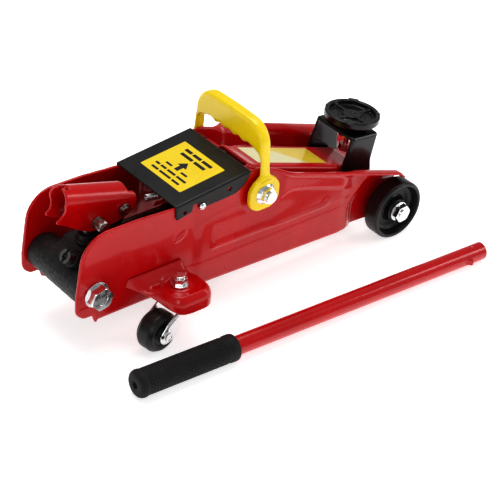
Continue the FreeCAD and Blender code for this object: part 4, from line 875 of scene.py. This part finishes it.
# ----------------------------------------------------------------- springs
Vs, Fs = helix(2.9, 0.62, 17.5, 10.5)
M = Matrix.Translation((81.5, -7.5, 122.5)) @ rot_y(math.degrees(math.atan2(3.6, 20)))
make("spring_socket", placed(Vs, M), Fs, ZINC, "chassis", ["socket_return_spring"])
Vs, Fs = helix(3.8, 0.75, 118, 58, 12, 6)
parts_V, parts_F = [], []
for sg in (-1, 1):
    M = Matrix.Translation((40, sg * 31.0, 69.0))
    parts_F.append(Fs + len(parts_V) * len(Vs)); parts_V.append(placed(Vs, M))
make("springs_arm", np.concatenate(parts_V), np.concatenate(parts_F), ZINC_DARK, "chassis", ["arm_return_springs"])

# ------------------------------------------------------------------ labels
def patch(name, corners_fn, pts, mat, body, lift=0.06, replaces=()):
    """Flat outlines laid on a sloping plane: pts is a list of closed outlines in the plane's own millimetres."""
    V, F = [], []
    for out in pts:
        b = len(V)
        top = [corners_fn(a, c, lift) for a, c in out]
        bot = [corners_fn(a, c, 0.0) for a, c in out]
        n = len(out)
        V += top + bot
        F.append(tuple(b + i for i in range(n)))
        for i in range(n):
            j = (i + 1) % n
            F.append((b + i, b + n + i, b + n + j, b + j))
    return make(name, V, F, mat, body, replaces, smooth=False)


SLOPE = math.atan2(142.0 - 131.5, 90.5)
CS, SS = math.cos(SLOPE), math.sin(SLOPE)


def on_cover(a, c, h):
    """a runs forward from the label's rear edge, c to the left; h is the height over the cover."""
    base = (103.5, 0, 131.5 + 0.06 + 17.0 * math.tan(SLOPE))
    return (base[0] + a * CS - h * SS, c, base[2] + a * SS + h * CS)


def bar(a0, a1, c0, c1, r=0.4):
    return rnd([(a0, c0, r), (a1, c0, r), (a1, c1, r), (a0, c1, r)], 3)


patch("label_film", on_cover, [rnd([(0, -31, 1.2), (54, -31, 1.2), (54, 31, 1.2), (0, 31, 1.2)], 4)], LABEL, "chassis", 0.18, ["cover_label"])
# generic print: rows of plain bars and a lift pictogram, with no lettering
rows = []
for a0, a1, segs in ((44.5, 48.2, ((-20, -6), (-4, 8), (10, 20))), (37.5, 41.2, ((-18, -2), (0.5, 18))), (11.5, 14.2, ((-23, -9), (-7, 5), (7, 15), (17, 23))), (5.0, 7.7, ((-21, -10), (-8, 9), (11, 21)))):
    rows += [bar(a0, a1, c0, c1) for c0, c1 in segs]
rows += [rnd([(18.5, -2.6, .3), (26.0, -2.6, .3), (26.0, -6.6, .3), (34.0, 0.0, .3), (26.0, 6.6, .3), (26.0, 2.6, .3), (18.5, 2.6, .3)], 2)]
rows += [bar(18.5, 21.0, -16, -7), bar(18.5, 21.0, 7, 16)]
patch("label_print", lambda a, c, h: on_cover(a, c, h + 0.185), rows, MARK, "chassis", 0.03)

SL = math.atan(0.34)
CL, SNL = math.cos(SL), math.sin(SL)


def on_arm(a, c, h):
    return (212.0 + a * CL + h * SNL, c, zt_arm(212.0) + 0.05 - a * SNL + h * CL)


patch("arm_film", on_arm, [rnd([(0, -16.5, 1), (99, -16.5, 1), (99, 16.5, 1), (0, 16.5, 1)], 3)], FILM, "lift_arm", 0.18, ["arm_label"])

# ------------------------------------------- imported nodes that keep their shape
for n, m, bv in (("cover_screws", ZINC, 0.0002), ("rear_bolts", ZINC, 0.0005), ("rear_washers", ZINC, 0.0003), ("socket_pivot_pin", ZINC_DARK, 0.0004),
                 ("socket_pin_clips", ZINC_DARK, 0.0002), ("arm_pivot_shaft", ZINC, 0.0005), ("pivot_spacers", RED, 0.0004), ("link_rear_pin", ZINC_DARK, 0.0004),
                 ("link_front_pin", ZINC_DARK, 0.0004), ("front_axle", ZINC, 0.0005), ("axle_washers", ZINC, 0.0003), ("axle_nuts", ZINC, 0.0005),
                 ("carry_handle_nuts", ZINC, 0.0003), ("release_valve", STEEL_GREY, 0.0004), ("release_valve_boss", CAST, 0.0005), ("plunger_pin", ZINC_DARK, 0.0004),
                 ("plunger_pin_nut", ZINC_DARK, 0.0003), ("arm_push_pin", ZINC_DARK, 0.0004), ("yoke_pin", ZINC_DARK, 0.0005), ("caster_nut_right", ZINC, 0.0004),
                 ("caster_nut_left", ZINC, 0.0004), ("caster_axle_right", ZINC, 0.0004), ("caster_axle_left", ZINC, 0.0004), ("ram", CHROME, 0.0004),
                 ("ram_head", BLACK, 0.0005), ("pump_plunger", STEEL_GREY, 0.0004), ("saddle_bolt", PINK_ROD, 0.0004), ("filler_plug", BLACK_PL, 0.0002),
                 ("reservoir_tube", BLACK, 0.0004), ("pressure_cylinder", CAST, 0.0004), ("gland_nut", CAST, 0.0006), ("pump_barrel", CAST, 0.0004),
                 ("link_anchor_plates", RED, 0.0004), ("levelling_link", BLACK, 0.0005)):
    finish_cad(n, m, bv)

# ------------------------------------------------------ floor, light, camera
CAM = P(-768.93, -1088.40, 1020.68)
bm = bmesh.new()
for x, y in ((-6, -6), (6, -6), (6, 6), (-6, 6)):
    bm.verts.new((x, y, 0.0))
bm.faces.new(bm.verts)
me = bpy.data.meshes.new("floor"); bm.to_mesh(me); bm.free()
floor = bpy.data.objects.new("floor", me); bpy.context.scene.collection.objects.link(floor)
fm, nt, b, co = new_mat("floor_white")
nt.links.new(ramp(nt, noise(nt, co, 3, 2), [(0.3, (0.93, 0.93, 0.93)), (0.7, (0.95, 0.95, 0.95))]), b.inputs["Base Color"])
b.inputs["Roughness"].default_value = 0.6
b.inputs["Specular IOR Level"].default_value = 0.1
b.inputs["Emission Color"].default_value = (1, 1, 1, 1)
b.inputs["Emission Strength"].default_value = 0.42
me.materials.append(fm)

w = bpy.data.worlds.new("studio"); bpy.context.scene.world = w
w.use_nodes = True
w.node_tree.nodes["Background"].inputs[0].default_value = (1, 1, 1, 1)
w.node_tree.nodes["Background"].inputs[1].default_value = 0.30


def area(name, loc, target, size, size_y, power, colour=(1, 1, 1)):
    l = bpy.data.lights.new(name, "AREA"); l.shape = "RECTANGLE"; l.size, l.size_y = size, size_y
    l.energy = power; l.color = colour
    o = bpy.data.objects.new(name, l); bpy.context.scene.collection.objects.link(o)
    o.location = loc
    d = Vector(target) - Vector(loc)
    o.rotation_euler = d.to_track_quat("-Z", "Y").to_euler()
    return o


area("key", (0.15, 0.35, 1.5), (0, 0, 0.05), 1.3, 1.0, 10)
area("side", (-1.3, -1.2, 0.9), (0, 0, 0.08), 0.7, 0.7, 3.0)
area("front_strip", (1.4, -1.0, 0.8), (0, 0, 0.06), 0.35, 1.2, 4.5)

cam = bpy.data.cameras.new("camera"); cam.lens = 1747.6 / 500 * 36; cam.sensor_width = 36; cam.sensor_fit = "HORIZONTAL"
cam.clip_start = 0.05; cam.clip_end = 50
co_ = bpy.data.objects.new("camera", cam); bpy.context.scene.collection.objects.link(co_)
a, e, r = math.radians(-42.46), math.radians(34.603), math.radians(5.373)
back = Vector((math.sin(a) * math.cos(e), -math.cos(a) * math.cos(e), math.sin(e)))
right0 = Vector((math.cos(a), math.sin(a), 0))
up0 = back.cross(right0)
Rv = math.cos(r) * right0 + math.sin(r) * up0
Uv = -math.sin(r) * right0 + math.cos(r) * up0
m3 = Matrix((Rv, Uv, back)).transposed()
co_.matrix_world = Matrix.Translation(CAM) @ m3.to_4x4()
bpy.context.scene.camera = co_
vs = bpy.context.scene.view_settings
vs.view_transform = "Standard"; vs.look = "High Contrast"; vs.exposure = 0.0; vs.gamma = 1.0
